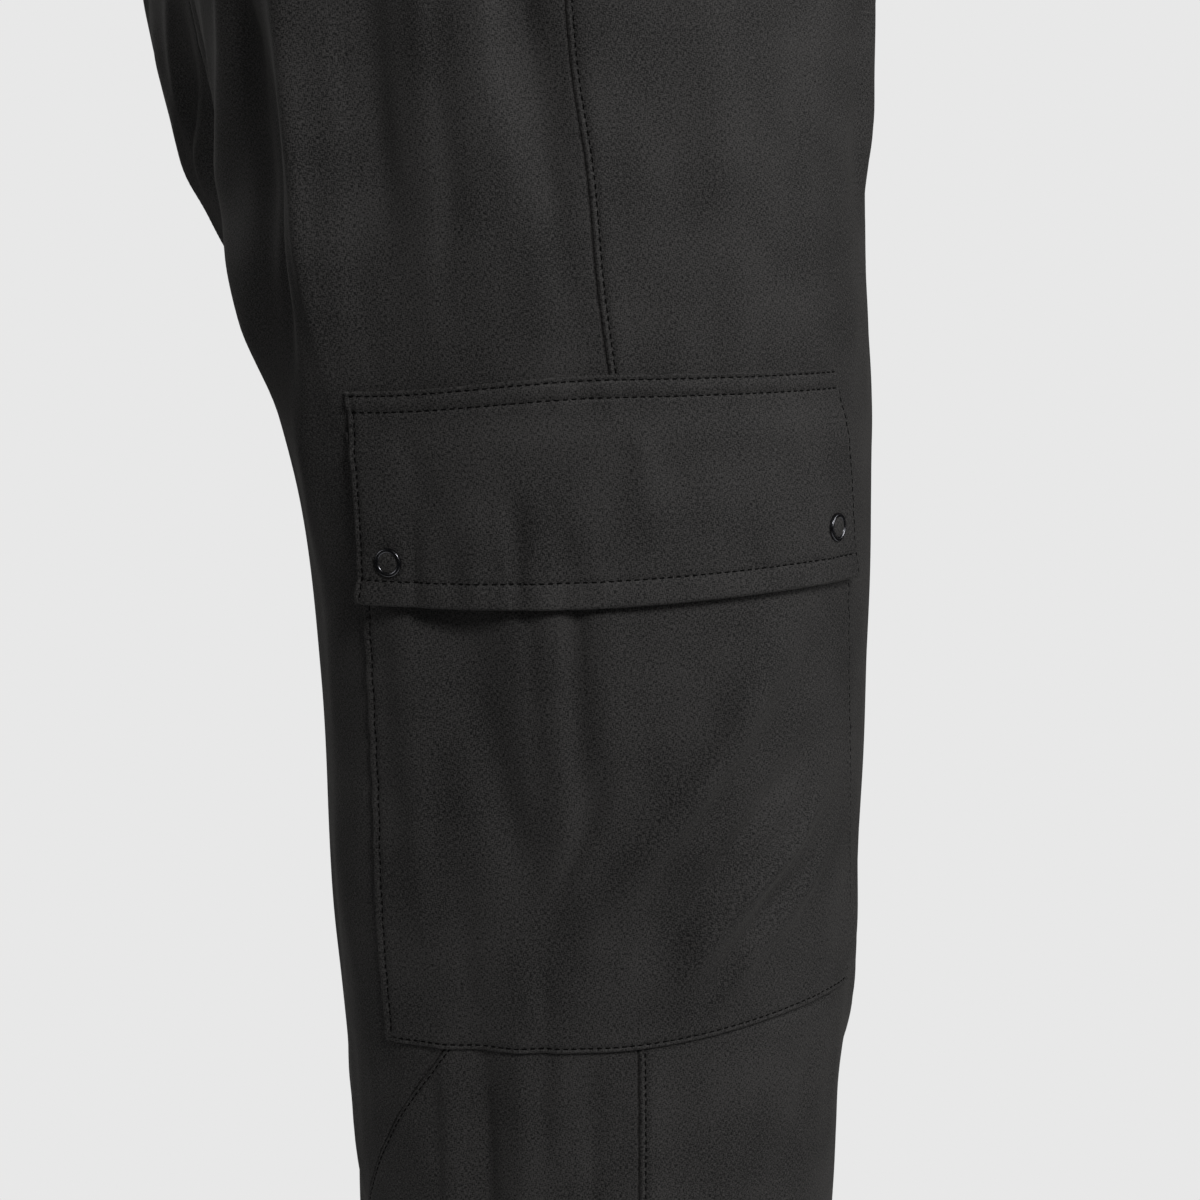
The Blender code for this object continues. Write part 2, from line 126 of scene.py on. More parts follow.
# Finer creases, different on each leg: the points that each one runs through,
# as angle and height, then its reach and rise. Above 0 is a ridge, below 0 a trough.
CREASES = {
    LEFT: (
        (((50, -0.030), (48.5, -0.120), (48, -0.200), (47.5, -0.250), (49, -0.310)), 0.0110, -0.0058),
        (((41, -0.060), (42, -0.190), (43, -0.310)), 0.0080, 0.0022),
        (((37, -0.040), (36, -0.190), (37.5, -0.290)), 0.0060, 0.0024),
        (((52.5, -0.150), (52, -0.220), (52, -0.330)), 0.0036, -0.0012),
        (((34.5, -0.060), (34, -0.170), (33.5, -0.240), (37, -0.310)), 0.0034, -0.0017),
        (((30, -0.100), (29.5, -0.200), (28, -0.300)), 0.0060, 0.0011),
        (((61.5, -0.090), (61.5, -0.220), (62.5, -0.340)), 0.0042, 0.0030),
        (((69, -0.150), (70, -0.230), (73, -0.330)), 0.0060, -0.0036),
        (((25, -0.020), (22.5, -0.120), (19.6, -0.190), (14.5, -0.255)), 0.0066, -0.0080),
        (((26, -0.110), (24.5, -0.190), (22, -0.290)), 0.0060, 0.0012),
        (((17.5, -0.215), (16, -0.250), (15, -0.285)), 0.0032, -0.0012),
        (((-3, -0.110), (-7, -0.180), (-14, -0.270)), 0.0080, 0.0010),
        (((2, -0.150), (1, -0.210), (-2, -0.260)), 0.0060, -0.0008),
        (((-22, -0.100), (-24, -0.170), (-30, -0.270)), 0.0070, -0.0010),
        (((-34, -0.120), (-31, -0.200), (-34, -0.290)), 0.0060, 0.0008),
        (((-44, -0.130), (-46, -0.190), (-56, -0.260)), 0.0045, -0.0014),
        (((76, -0.120), (77, -0.200), (76, -0.290)), 0.0090, -0.0030),
        (((84, -0.120), (91, -0.185), (104, -0.240)), 0.0040, -0.0016),
        (((94, -0.130), (100, -0.190), (110, -0.235)), 0.0036, 0.0010),
        (((112, -0.130), (110, -0.200), (104, -0.262)), 0.0040, -0.0013),
        (((128, -0.110), (120, -0.180), (108, -0.255)), 0.0045, -0.0014),
        (((40.5, -0.505), (40.5, -0.580), (40, -0.640), (38, -0.720)), 0.0070, -0.0044),
        (((31.5, -0.520), (31, -0.590), (32, -0.660)), 0.0045, 0.0018),
        (((49.5, -0.520), (49.5, -0.600), (47, -0.680)), 0.0050, 0.0018),
        (((53.5, -0.540), (53, -0.580), (52, -0.630)), 0.0030, -0.0014),
        (((25.5, -0.520), (25, -0.555), (25.5, -0.600)), 0.0032, -0.0014),
        (((15.5, -0.530), (14.5, -0.590), (16, -0.660)), 0.0042, -0.0012),
        (((-20, -0.540), (-14, -0.600), (-4, -0.660)), 0.0070, 0.0009),
        (((-44, -0.530), (-34, -0.590), (-14, -0.650)), 0.0065, -0.0010),
        (((80, -0.380), (84, -0.450), (80, -0.540)), 0.0080, 0.0010),
        (((70, -0.330), (72, -0.400), (70, -0.470)), 0.0060, -0.0010),
        (((-70, -0.260), (-95, -0.300), (-130, -0.318)), 0.0070, -0.0020),
        (((-84, -0.300), (-108, -0.345), (-150, -0.360)), 0.0080, 0.0018),
        (((-58, -0.480), (-74, -0.560), (-104, -0.620)), 0.0085, 0.0022),
        (((-150, -0.570), (-120, -0.620), (-84, -0.640)), 0.0075, -0.0024),
        (((-140, -0.640), (-108, -0.660), (-70, -0.640)), 0.0070, 0.0018),
        (((130, -0.540), (104, -0.580), (80, -0.640)), 0.0080, 0.0016),
        (((150, -0.620), (120, -0.650), (92, -0.720)), 0.0075, -0.0018),
        (((96, -0.760), (70, -0.810), (30, -0.835)), 0.0085, -0.0018),
        (((20, -0.780), (-20, -0.830), (-60, -0.840)), 0.0090, 0.0018),
        (((-150, -0.780), (-110, -0.840), (-70, -0.850)), 0.0085, -0.0018),
        (((120, -0.890), (84, -0.930), (40, -0.940)), 0.0080, -0.0016),
        (((60, -0.960), (20, -0.975), (-24, -0.955)), 0.0080, 0.0013),
        (((-30, -0.900), (-70, -0.945), (-120, -0.950)), 0.0085, -0.0017),
    ),
    RIGHT: (
        (((40, -0.100), (44, -0.180), (42, -0.290)), 0.0050, -0.0016),
        (((52, -0.110), (53, -0.190), (50, -0.280)), 0.0042, 0.0010),
        (((30, -0.130), (29, -0.200), (34, -0.280)), 0.0048, -0.0011),
        (((68, -0.130), (66, -0.210), (72, -0.300)), 0.0052, 0.0013),
        (((82, -0.130), (90, -0.190), (106, -0.246)), 0.0044, -0.0017),
        (((98, -0.120), (104, -0.185), (112, -0.240)), 0.0040, 0.0012),
        (((124, -0.120), (117, -0.190), (107, -0.256)), 0.0044, -0.0015),
        (((6, -0.110), (-4, -0.190), (-8, -0.270)), 0.0072, 0.0010),
        (((-20, -0.120), (-24, -0.190), (-22, -0.280)), 0.0068, -0.0010),
        (((-48, -0.120), (-52, -0.185), (-64, -0.250)), 0.0048, -0.0016),
        (((84, -0.330), (90, -0.420), (86, -0.530)), 0.0090, 0.0014),
        (((70, -0.340), (66, -0.430), (70, -0.520)), 0.0070, -0.0012),
        (((-74, -0.270), (-104, -0.300), (-140, -0.322)), 0.0075, -0.0021),
        (((-90, -0.330), (-120, -0.350), (-156, -0.372)), 0.0085, 0.0017),
        (((-60, -0.510), (-80, -0.580), (-112, -0.606)), 0.0080, 0.0022),
        (((-156, -0.560), (-124, -0.598), (-86, -0.630)), 0.0078, -0.0023),
        (((-132, -0.650), (-100, -0.678), (-60, -0.650)), 0.0075, 0.0018),
        (((126, -0.560), (100, -0.600), (70, -0.622)), 0.0085, 0.0015),
        (((146, -0.640), (116, -0.690), (84, -0.700)), 0.0078, -0.0018),
        (((50, -0.550), (46, -0.610), (52, -0.690)), 0.0070, -0.0012),
        (((20, -0.560), (24, -0.640), (14, -0.720)), 0.0075, 0.0010),
        (((-24, -0.560), (-12, -0.620), (4, -0.700)), 0.0070, -0.0011),
        (((104, -0.800), (76, -0.842), (44, -0.850)), 0.0088, -0.0019),
        (((10, -0.800), (-30, -0.815), (-66, -0.860)), 0.0090, 0.0018),
        (((-144, -0.800), (-104, -0.822), (-60, -0.800)), 0.0085, -0.0017),
        (((130, -0.910), (96, -0.950), (60, -0.945)), 0.0084, 0.0015),
        (((30, -0.930), (-10, -0.965), (-50, -0.960)), 0.0082, -0.0014),
        (((-40, -0.890), (-80, -0.915), (-130, -0.940)), 0.0085, 0.0016),
    ),
}


def column(table, columns, name):
    """One column of a table as an array, in order of rising height or share."""
    values = np.array([row[columns.index(name)] for row in table], float)
    keys = np.array([row[0] for row in table], float)
    return values[np.argsort(keys)]


def smooth_through(table, columns, name, at):
    """Cubic through one column of a table, read at the key column's value `at`. The slope at each row
    is the mean of the slopes on its two sides, each weighted by the other side's length."""
    keys = column(table, columns, columns[0])
    values = column(table, columns, name)
    lengths = np.diff(keys)
    slopes = np.diff(values) / lengths
    inner = slopes[:-1] * lengths[1:] + slopes[1:] * lengths[:-1]
    tangents = np.concatenate([slopes[:1], inner / (lengths[:-1] + lengths[1:]), slopes[-1:]])
    at = np.clip(np.asarray(at, float), keys[0], keys[-1])
    i = np.clip(np.searchsorted(keys, at, side="right") - 1, 0, len(lengths) - 1)
    t = (at - keys[i]) / lengths[i]
    start = (2 * t**3 - 3 * t**2 + 1) * values[i] + (t**3 - 2 * t**2 + t) * lengths[i] * tangents[i]
    end = (3 * t**2 - 2 * t**3) * values[i + 1] + (t**3 - t**2) * lengths[i] * tangents[i + 1]
    return start + end


def section(name, height):
    """One measure of the leg's section at these heights."""
    return smooth_through(SECTIONS, SECTION_COLUMNS, name, height)


def ease(share):
    """0 to 1 along a smooth S, flat at both ends: 3 t squared less 2 t cubed."""
    share = np.clip(share, 0.0, 1.0)
    return share * share * (3 - 2 * share)


def blend(start, end, share):
    """From start to end in a straight line."""
    return start + (end - start) * share


def signed_power(value, power):
    """The value's size to a power, with its sign kept."""
    return np.sign(value) * np.abs(value) ** power


def bell(distance, reach):
    """A bell curve of a distance: 1 in the middle, about a third at its reach."""
    return np.exp(-((distance / reach) ** 2))


def fold_height(angle, height, x):
    """Sum of the large folds: for each, its rise times a bell of the distance to its line, faded over
    the last third at both ends, and all of it faded towards the plane x = 0."""
    total = np.zeros_like(height)
    for angle_1, height_1, angle_2, height_2, reach, rise in FOLDS:
        start = np.array([math.radians(angle_1) * FOLD_RADIUS, height_1])
        along = np.array([math.radians(angle_2) * FOLD_RADIUS, height_2]) - start
        length = np.linalg.norm(along)
        along /= length
        round_leg = angle * FOLD_RADIUS - start[0]
        down = height - start[1]
        share = (round_leg * along[0] + down * along[1]) / length
        off = round_leg * along[1] - down * along[0]
        total += rise * bell(off, reach) * ease(np.minimum(share, 1 - share) / 0.3)
    return total * ease(np.abs(x) / FOLD_CLEAR)


def crease_height(table, angle, height):
    """Sum of the creases: for each, its rise times a bell of the distance to the line through its
    points, wider and narrower along its way, and faded over a third at both ends."""
    angle, height = np.broadcast_arrays(np.asarray(angle, float), np.asarray(height, float))
    total = np.zeros(height.shape)
    for number, (path, reach, rise) in enumerate(table):
        line = np.array(path, float)
        line[:, 0] = np.radians(line[:, 0]) * FOLD_RADIUS
        steps = np.diff(line, axis=0)
        lengths = np.hypot(steps[:, 0], steps[:, 1])
        before = np.concatenate([[0], np.cumsum(lengths)])
        nearest = np.full(height.shape, np.inf)
        share = np.zeros(height.shape)
        for k, step in enumerate(steps):
            across = angle * FOLD_RADIUS - line[k, 0]
            down = height - line[k, 1]
            t = np.clip((across * step[0] + down * step[1]) / lengths[k] ** 2, 0, 1)
            off = np.hypot(across - t * step[0], down - t * step[1])
            closer = off < nearest
            nearest = np.where(closer, off, nearest)
            share = np.where(closer, (before[k] + t * lengths[k]) / before[-1], share)
        width = reach * (1 + 0.3 * np.sin(7 * share + number))
        total += rise * bell(nearest, width) * ease(np.minimum(share, 1 - share) / 0.35)
    return total


def waves(along, shortest, longest, count, seed):
    """Sum of sine waves of seeded wavelengths and phases, from about -1 to 1."""
    dice = np.random.default_rng(seed)
    lengths = dice.uniform(shortest, longest, count)
    phases = dice.uniform(0, 2 * math.pi, count)
    total = sum(np.sin(2 * math.pi * along / l + p) for l, p in zip(lengths, phases))
    return total / math.sqrt(count)


def hang(side, angle, height):
    """Low unevenness of cloth that hangs: sine waves across the leg, long down it, and a few across,
    each times another wave so that no ripple runs the whole way."""
    seed = 11 if side == LEFT else 37
    round_leg = angle * FOLD_RADIUS
    lean = round_leg + 0.06 * height
    tall = waves(lean, 0.016, 0.040, 5, seed) * waves(height, 0.09, 0.20, 3, seed + 1)
    wide = waves(height + 0.25 * round_leg, 0.030, 0.075, 4, seed + 2)
    wide *= waves(lean, 0.06, 0.14, 3, seed + 3)
    return 0.00022 * tall + 0.00020 * wide


def step_back(x, height):
    """How far the right leg stands behind the left one, none above a line from crotch to hip."""
    start = CROTCH + 0.006 + STEP_RISE * np.clip(np.abs(x) / STEP_WIDTH, 0, 1)
    swing = ease((start - height) / STEP_DEPTH)
    return STEP_BACK * swing + STEP_LEAN * np.clip(-0.4 - height, 0, None) / 0.6


def surface(angle, height, side=LEFT, out=0.0):
    """Points of the leg's surface: half its width times the cosine's power, its depth times the
    sine's power, moved out along the normal by the large folds and `out`."""
    angle, height, out = np.broadcast_arrays(*[np.asarray(v, float) for v in (angle, height, out)])
    half = section("half", height)
    centre = section("outer", height) - half
    cosine, sine = np.cos(angle), np.sin(angle)
    in_front = sine >= 0
    depth = np.where(in_front, section("front", height), section("back", height))
    fill = np.where(in_front, section("front_fill", height), section("back_fill", height))
    power = ROUNDNESS * np.where(cosine < 0, fill, 1.0)
    x = centre + half * signed_power(cosine, ROUNDNESS)
    y = section("middle", height) - depth * signed_power(sine, power)
    normal = np.stack([cosine / half, -sine / depth], -1)
    normal /= np.linalg.norm(normal, axis=-1, keepdims=True)
    move = out + fold_height(angle, height, x)
    x = x + normal[..., 0] * move
    y = y + normal[..., 1] * move
    if side == RIGHT:
        y = y + step_back(x, height)
        x = -x
    return np.stack([x, y, height], -1)


def centre_angle(height):
    """Angle at which the section meets the plane x = 0 above the crotch, half a seam gap off it."""
    half = section("half", height)
    share = (section("outer", height) - half - SEAM_GAP / 2) / half
    return np.arccos(-(np.clip(share, 0, 1) ** (1 / ROUNDNESS)))


def outseam_angle(height):
    """Angle of the outer seam."""
    return np.radians(smooth_through(OUTSEAM, OUTSEAM_COLUMNS, "angle", height))


def inner_angle(height, front):
    """Angle of the front or back panel's inner edge: the centre seam, then the inner seam."""
    lean = math.radians(INSEAM_LEAN) * ease((CROTCH - height) / INSEAM_LEAN_DEPTH)
    gap = SEAM_GAP / 2 / section("half", height)
    above = centre_angle(height)
    below = math.pi - lean - gap if front else -math.pi - lean + gap
    return np.where(height > CROTCH, above if front else -above, below)


# Lengths round the leg from its outer side, for a table of heights and angles, and the way back
# from a length to its angle, so that the cloth can be laid out in metres.
TABLE_HEIGHTS = np.linspace(HEM - 0.010, WAIST + 0.010, 345)
TABLE_ANGLES = np.radians(np.linspace(-205, 205, 821))
TABLE_LENGTHS = np.linspace(-0.46, 0.46, 921)


def measure_round():
    """Length along the section's curve at every height and angle of the tables."""
    height = TABLE_HEIGHTS[:, None]
    half = section("half", height)
    cosine, sine = np.cos(TABLE_ANGLES), np.sin(TABLE_ANGLES)
    in_front = sine >= 0
    depth = np.where(in_front, section("front", height), section("back", height))
    fill = np.where(in_front, section("front_fill", height), section("back_fill", height))
    x = half * signed_power(cosine, ROUNDNESS)
    y = depth * signed_power(sine, ROUNDNESS * np.where(cosine < 0, fill, 1.0))
    steps = np.hypot(np.diff(x, axis=1), np.diff(y, axis=1))
    lengths = np.concatenate([np.zeros_like(height), np.cumsum(steps, axis=1)], axis=1)
    return lengths - lengths[:, [len(TABLE_ANGLES) // 2]]


LENGTH_AT = measure_round()
ANGLE_AT = np.stack([np.interp(TABLE_LENGTHS, row, TABLE_ANGLES) for row in LENGTH_AT])


def look_up(table, columns, height, value):
    """Bilinear reading of a table whose rows are TABLE_HEIGHTS and whose columns are evenly spaced."""
    height, value = np.broadcast_arrays(np.asarray(height, float), np.asarray(value, float))
    row = (height - TABLE_HEIGHTS[0]) / (TABLE_HEIGHTS[1] - TABLE_HEIGHTS[0])
    col = (value - columns[0]) / (columns[1] - columns[0])
    i = np.clip(row.astype(int), 0, len(TABLE_HEIGHTS) - 2)
    j = np.clip(col.astype(int), 0, len(columns) - 2)
    s = np.clip(row - i, 0, 1)
    t = np.clip(col - j, 0, 1)
    low = blend(table[i, j], table[i, j + 1], t)
    return blend(low, blend(table[i + 1, j], table[i + 1, j + 1], t), s)


def length_round(angle, height):
    """Metres round the leg from its outer side to this angle."""
    return look_up(LENGTH_AT, TABLE_ANGLES, height, angle)


def angle_at(distance, height):
    """Angle whose distance round the leg from the outer seam, positive to the front, is this."""
    seam = length_round(outseam_angle(height), height)
    return look_up(ANGLE_AT, TABLE_LENGTHS, height, seam + distance)


# The patch pocket lies over the outer seam. Under it the panels lie flat and a little sunk.
POCKET_TOP, POCKET_FOOT, POCKET_FRONT = -0.3215, -0.547, 0.096
POCKET_BACK_TOP, POCKET_BACK_FOOT, POCKET_BACK_RAISE = 0.094, 0.105, 0.011
POCKET_SINK, SINK_SOFT = 0.0024, 0.009


def under_pocket(distance, height, soft=0.027):
    """1 well inside the pocket's outline, 0 outside it, with an edge 9 mm wide and a top edge `soft`
    high, which starts 1.5 mm above the pocket's mouth."""
    inside = np.minimum(distance + POCKET_BACK_TOP, POCKET_FRONT - distance)
    inside = np.minimum(inside, height - POCKET_FOOT)
    below_top = POCKET_TOP + 0.0015 + soft - height
    return ease((inside - 0.002) / 0.009) * ease(below_top / soft)


def leg_cloth(side, distance, height, out=0.0):
    """The worn cloth's outer face at a distance round the leg from the outer seam: the leg's surface
    with the creases and the low unevenness, which both fade under the pocket, moved out by `out`."""
    angle = angle_at(distance, height)
    free = 1 - under_pocket(distance, height)
    clear = ease((np.abs(surface(angle, height)[..., 0]) - 0.002) / FOLD_CLEAR)
    uneven = crease_height(CREASES[side], angle, height) * free * clear + hang(side, angle, height)
    gather = waves(distance, 0.007, 0.012, 6, 5) * ease((height + 0.085) / 0.045)
    return surface(angle, height, side, out + uneven + 0.0005 * gather)


# Distance of a topstitch row from a lapped edge, and the reach of the groove that a row presses in.
LAP_ROW, GROOVE = 0.0023, 0.0008


def lapped(distance):
    """Edge that is turned under and topstitched: raised 0.3 mm over the layers below it, pressed in by
    the stitch row 2.3 mm from the edge, and rolled down over its last millimetre."""
    raised = 0.0003 * (1 - ease((distance - 0.0065) / 0.003))
    row = -0.00045 * bell(distance - LAP_ROW, GROOVE)
    roll = -0.0009 * np.clip(1 - distance / 0.0010, 0, 1.3) ** 2
    return raised + row + roll


def tucked(distance):
    """Edge that runs on under its neighbour: it dips 1.3 mm over the last millimetre before the seam."""
    return -0.0013 * ease(1 - (distance + 0.0003) / 0.0015)


def pucker(along, distance, seed):
    """Small waves that a stitched seam draws into the cloth beside it, gone 9 mm away."""
    near = bell(np.maximum(distance - 0.0015, 0), 0.0048)
    return 0.00020 * waves(along, 0.008, 0.019, 5, seed) * near


# Columns and rows stand close at an edge, where it rolls or runs under, and 2 to 4 mm apart inside.
LAPPED_EDGE = 0.001 * np.array(
    [-0.3, -0.1, 0.1, 0.3, 0.5, 0.8, 1.1, 1.5, 1.9, 2.3, 2.7, 3.2, 4, 5.3, 7, 9, 12]
)
TUCKED_EDGE = 0.001 * np.array([-1.7, -1.0, -0.4, 0.0, 0.3, 0.6, 0.9, 1.2, 1.6, 2.1, 2.8, 3.8, 5.2, 7, 9, 12])


def spread(width, inner, start, end):
    """Positions in the last axis from 0 to the width: a list near each end, evenly spaced between.
    Each is a fixed length plus a share of what the two lists leave of the width."""
    middle = np.linspace(0, 1, inner + 2)[1:-1]
    fixed = np.concatenate([start, np.full(inner, start[-1]), start[-1] + end[-1] - end[::-1]])
    share = np.concatenate([np.zeros(len(start)), middle, np.ones(len(end))])
    return fixed + share * (width - start[-1] - end[-1])


def panel_width(height, front):
    """Metres round the leg from the outer seam to the panel's inner edge."""
    seam = length_round(outseam_angle(height), height)
    return np.abs(length_round(inner_angle(height, front), height) - seam)


FRONT_COLUMNS = 120


def front_columns(height):
    """Distances of the front panel's columns from the outer seam, for heights in rows."""
    return spread(panel_width(height, True), FRONT_COLUMNS, TUCKED_EDGE, TUCKED_EDGE)


def knee_seam():
    """Height at which each of the front panel's columns meets the knee seam, found by putting the
    height back into the seam's line six times."""
    height = np.full(FRONT_COLUMNS + 2 * len(TUCKED_EDGE), -0.55)
    for _ in range(6):
        outer = outseam_angle(height)
        across = (angle_at(front_columns(height), height) - outer) / (inner_angle(height, True) - outer)
        height = smooth_through(KNEE_SEAM, KNEE_SEAM_COLUMNS, "height", np.clip(across, 0, 1))
    return height


def hold_in(to_edge, lap):
    """Distance to an edge, where a lapped edge ends 0.3 mm past its line and isn't carried on under."""
    return np.where(lap, np.maximum(to_edge, -0.0003 + 0.05 * (to_edge + 0.0003)), to_edge)


def front_cloth(side, distance, height, out=0.0):
    """Front panel's outer face: the worn cloth, tucked under the back panel at the outer and inner
    seams. Above the crotch the left panel laps the right one."""
    width = panel_width(height, True)
    lap = (height > CROTCH) & (side == LEFT)
    to_inner = hold_in(width - distance, lap)
    edges = tucked(distance) + np.where(lap, lapped(to_inner), tucked(to_inner))
    puckers = pucker(height, distance, 3) + pucker(height, to_inner, 4)
    puckers = puckers - POCKET_SINK * under_pocket(distance, height, SINK_SOFT)
    return leg_cloth(side, width - to_inner, height, edges + puckers + out)


def srgb(text, alpha=1.0):
    """Linear colour from an sRGB hex value."""
    parts = np.array([int(text[i : i + 2], 16) for i in (1, 3, 5)]) / 255
    linear = np.where(parts <= 0.04045, parts / 12.92, ((parts + 0.055) / 1.055) ** 2.4)
    return (*linear.tolist(), alpha)


def fill(tree, node, **inputs):
    """Fills a node's inputs, named as in Blender with _ for a space or by number as in _0: a pair of
    node and output name is linked, anything else is the value."""
    for name, value in inputs.items():
        if name.startswith("_"):
            socket = node.inputs[int(name[1:])]
        else:
            socket = [s for s in node.inputs if s.name == name.replace("_", " ") and s.enabled][0]
        if isinstance(value, tuple) and hasattr(value[0], "outputs"):
            output = [s for s in value[0].outputs if s.name == value[1] and s.enabled][0]
            tree.links.new(output, socket)
        else:
            socket.default_value = value


def add(tree, kind, settings=(), **inputs):
    """Adds a node with its settings, and fills its inputs."""
    node = tree.nodes.new(kind)
    for name, value in dict(settings).items():
        setattr(node, name, value)
    fill(tree, node, **inputs)
    return node


def new_material(name):
    """A material with its node tree and its Principled shader."""
    material = bpy.data.materials.new(name)
    material.use_nodes = True
    return material, material.node_tree, material.node_tree.nodes["Principled BSDF"]


# Slubs of the yarn to a metre of cloth: across them, 0.28 mm wide, and along them, 1.1 mm long.
SLUBS_ACROSS, SLUBS_ALONG = 3600, 900


def woven_polyester(name, dark, light):
    """Stretch woven polyester and elastane, dyed near black in the yarn and calendered. Its threads
    are 0.25 mm apart, drawn as uneven slubs: warp slubs run down the leg, weft slubs across. Clouds
    4 cm wide shade it a little. The eye gets a fine dry grain and soft, wide highlights."""
    material, tree, shader = new_material(name)
    cut = add(tree, "ShaderNodeUVMap", {"uv_map": "cut"})
    slubs = []
    for scale in ((SLUBS_ACROSS, SLUBS_ALONG, 1), (SLUBS_ALONG, SLUBS_ACROSS, 1)):
        lie = add(tree, "ShaderNodeMapping", Vector=(cut, "UV"), Scale=scale)
        noise = {"Scale": 1.0, "Detail": 1.0, "Vector": (lie, "Vector")}
        slubs.append(add(tree, "ShaderNodeTexNoise", {"noise_dimensions": "2D"}, **noise))
    warp, weft = slubs
    grain = add(tree, "ShaderNodeMath", {"operation": "ADD"}, _0=(warp, "Fac"), _1=(weft, "Fac"))
    noise = {"Scale": 26.0, "Detail": 3.0, "Vector": (cut, "UV")}
    cloud = add(tree, "ShaderNodeTexNoise", {"noise_dimensions": "2D"}, **noise)
    sum_up = {"operation": "MULTIPLY_ADD"}
    tone = add(tree, "ShaderNodeMath", sum_up, _0=(cloud, "Fac"), _1=0.3, _2=(grain, "Value"))
    share = add(tree, "ShaderNodeMapRange", Value=(tone, "Value"), From_Min=0.92, From_Max=1.38)
    colours = {"A": srgb(dark), "B": srgb(light)}
    mix = add(tree, "ShaderNodeMix", {"data_type": "RGBA"}, Factor=(share, "Result"), **colours)
    bump = add(tree, "ShaderNodeBump", Height=(grain, "Value"), Strength=0.7, Distance=0.00012)
    fill(tree, shader, Base_Color=(mix, "Result"), Normal=(bump, "Normal"), Roughness=0.74)
    fill(tree, shader, Specular_IOR_Level=0.42, Sheen_Weight=0.25, Sheen_Roughness=0.45)
    fill(tree, shader, Sheen_Tint=srgb("#8c8a86"))
    return material


CLOTH_DARK, CLOTH_LIGHT = "#0c0c0c", "#575554"
MAIN_CLOTH = woven_polyester("woven_polyester_main", CLOTH_DARK, CLOTH_LIGHT)


def make_mesh(name, points, faces, material):
    """A smooth mesh object at the origin from an array of points and an array or list of faces."""
    mesh = bpy.data.meshes.new(name)
    faces = faces if isinstance(faces, list) else faces.tolist()
    mesh.from_pydata(points.reshape(-1, 3).tolist(), [], faces)
    mesh.materials.append(material)
    mesh.shade_smooth()
    piece = bpy.data.objects.new(name, mesh)
    bpy.context.scene.collection.objects.link(piece)
    return piece


def grid_faces(rows, columns, ring_rows=False, ring_columns=False):
    """Corner numbers of a grid's squares. A ring joins its last row or column to the first."""
    row = np.arange(rows if ring_rows else rows - 1)[:, None]
    col = np.arange(columns if ring_columns else columns - 1)[None, :]
    below, after = (row + 1) % rows, (col + 1) % columns
    corners = [row * columns + col, below * columns + col, below * columns + after, row * columns + after]
    return np.stack(corners, -1).reshape(-1, 4)


def facing(faces, points, i, j, way):
    """The grid's faces, turned round if the one at row i and column j looks away from `way`."""
    normal = np.cross(points[i + 1, j] - points[i, j], points[i, j + 1] - points[i, j])
    return faces if normal @ way > 0 else faces[:, ::-1]


def set_cut(piece, cut):
    """UV map "cut": each point's place on the flat cut in metres, which the weave follows."""
    mesh = piece.data
    corner = np.empty(len(mesh.loops), np.int32)
    mesh.loops.foreach_get("vertex_index", corner)
    layer = mesh.uv_layers.new(name="cut")
    layer.data.foreach_set("uv", cut.reshape(-1, 2)[corner].astype(np.float32).ravel())


def lay_cloth(name, side, points, cut, material, wall=CLOTH):
    """One panel from a grid of points (rows, columns, xyz). Its faces are turned to point away from
    the middle of the leg, and Solidify adds the wall on the inner side."""
    rows, columns = points.shape[:2]
    i, j = rows // 2, columns // 2
    middle = points[i, j]
    half = section("half", middle[2])
    inside = np.array([side * (section("outer", middle[2]) - half), 0.0, middle[2]])
    if side == RIGHT:
        inside[1] = step_back(half, middle[2])
    faces = facing(grid_faces(rows, columns), points, i, j, middle - inside)
    piece = make_mesh(name, points, faces, material)
    set_cut(piece, cut)
    solid = piece.modifiers.new("Wall", "SOLIDIFY")
    solid.thickness = wall
    solid.offset = -1.0
    return piece


def dress(piece, nodes):
    """Rides a piece on the trousers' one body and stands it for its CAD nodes."""
    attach(piece, "root")
    if nodes:
        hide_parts(*nodes)


def flat_cut(distance, height):
    """Place on the flat cut: metres across the panel and metres down the leg."""
    return np.stack(np.broadcast_arrays(distance, height), -1)


BAND_TUCK = 0.005
RISE_ROWS, THIGH_ROWS = 66, 78
# Two rows under the crotch, where the rows above it end.
CROTCH_ROWS = np.array([0.0, 0.003])


def rise_rows():
    """Heights from inside the waistband down to the crotch, closer together towards the crotch."""
    share = np.linspace(0, 1, RISE_ROWS)[:, None]
    return blend(BAND_FOOT + BAND_TUCK, CROTCH, 1 - (1 - share) ** 1.7)


def under_band(height):
    """The panels' top edge runs up inside the waistband, 1.3 mm further in."""
    return -0.0013 * ease((height - BAND_FOOT + 0.001) / 0.002)


knee_height = knee_seam()
for side, leg in LEGS:
    rise = np.repeat(rise_rows()[:-1], len(knee_height), axis=1)
    thigh = spread((CROTCH - knee_height)[:, None], THIGH_ROWS, CROTCH_ROWS, TUCKED_EDGE).T
    height = np.concatenate([rise, CROTCH - thigh])
    distance = front_columns(height)
    above_knee = height - knee_height
    out = under_band(height) + tucked(above_knee) + pucker(distance, above_knee, 6)
    points = front_cloth(side, distance, height, out)
    piece = lay_cloth("front_panel_upper_" + leg, side, points, flat_cut(distance, height), MAIN_CLOTH)
    dress(piece, ["front_upper_" + leg])

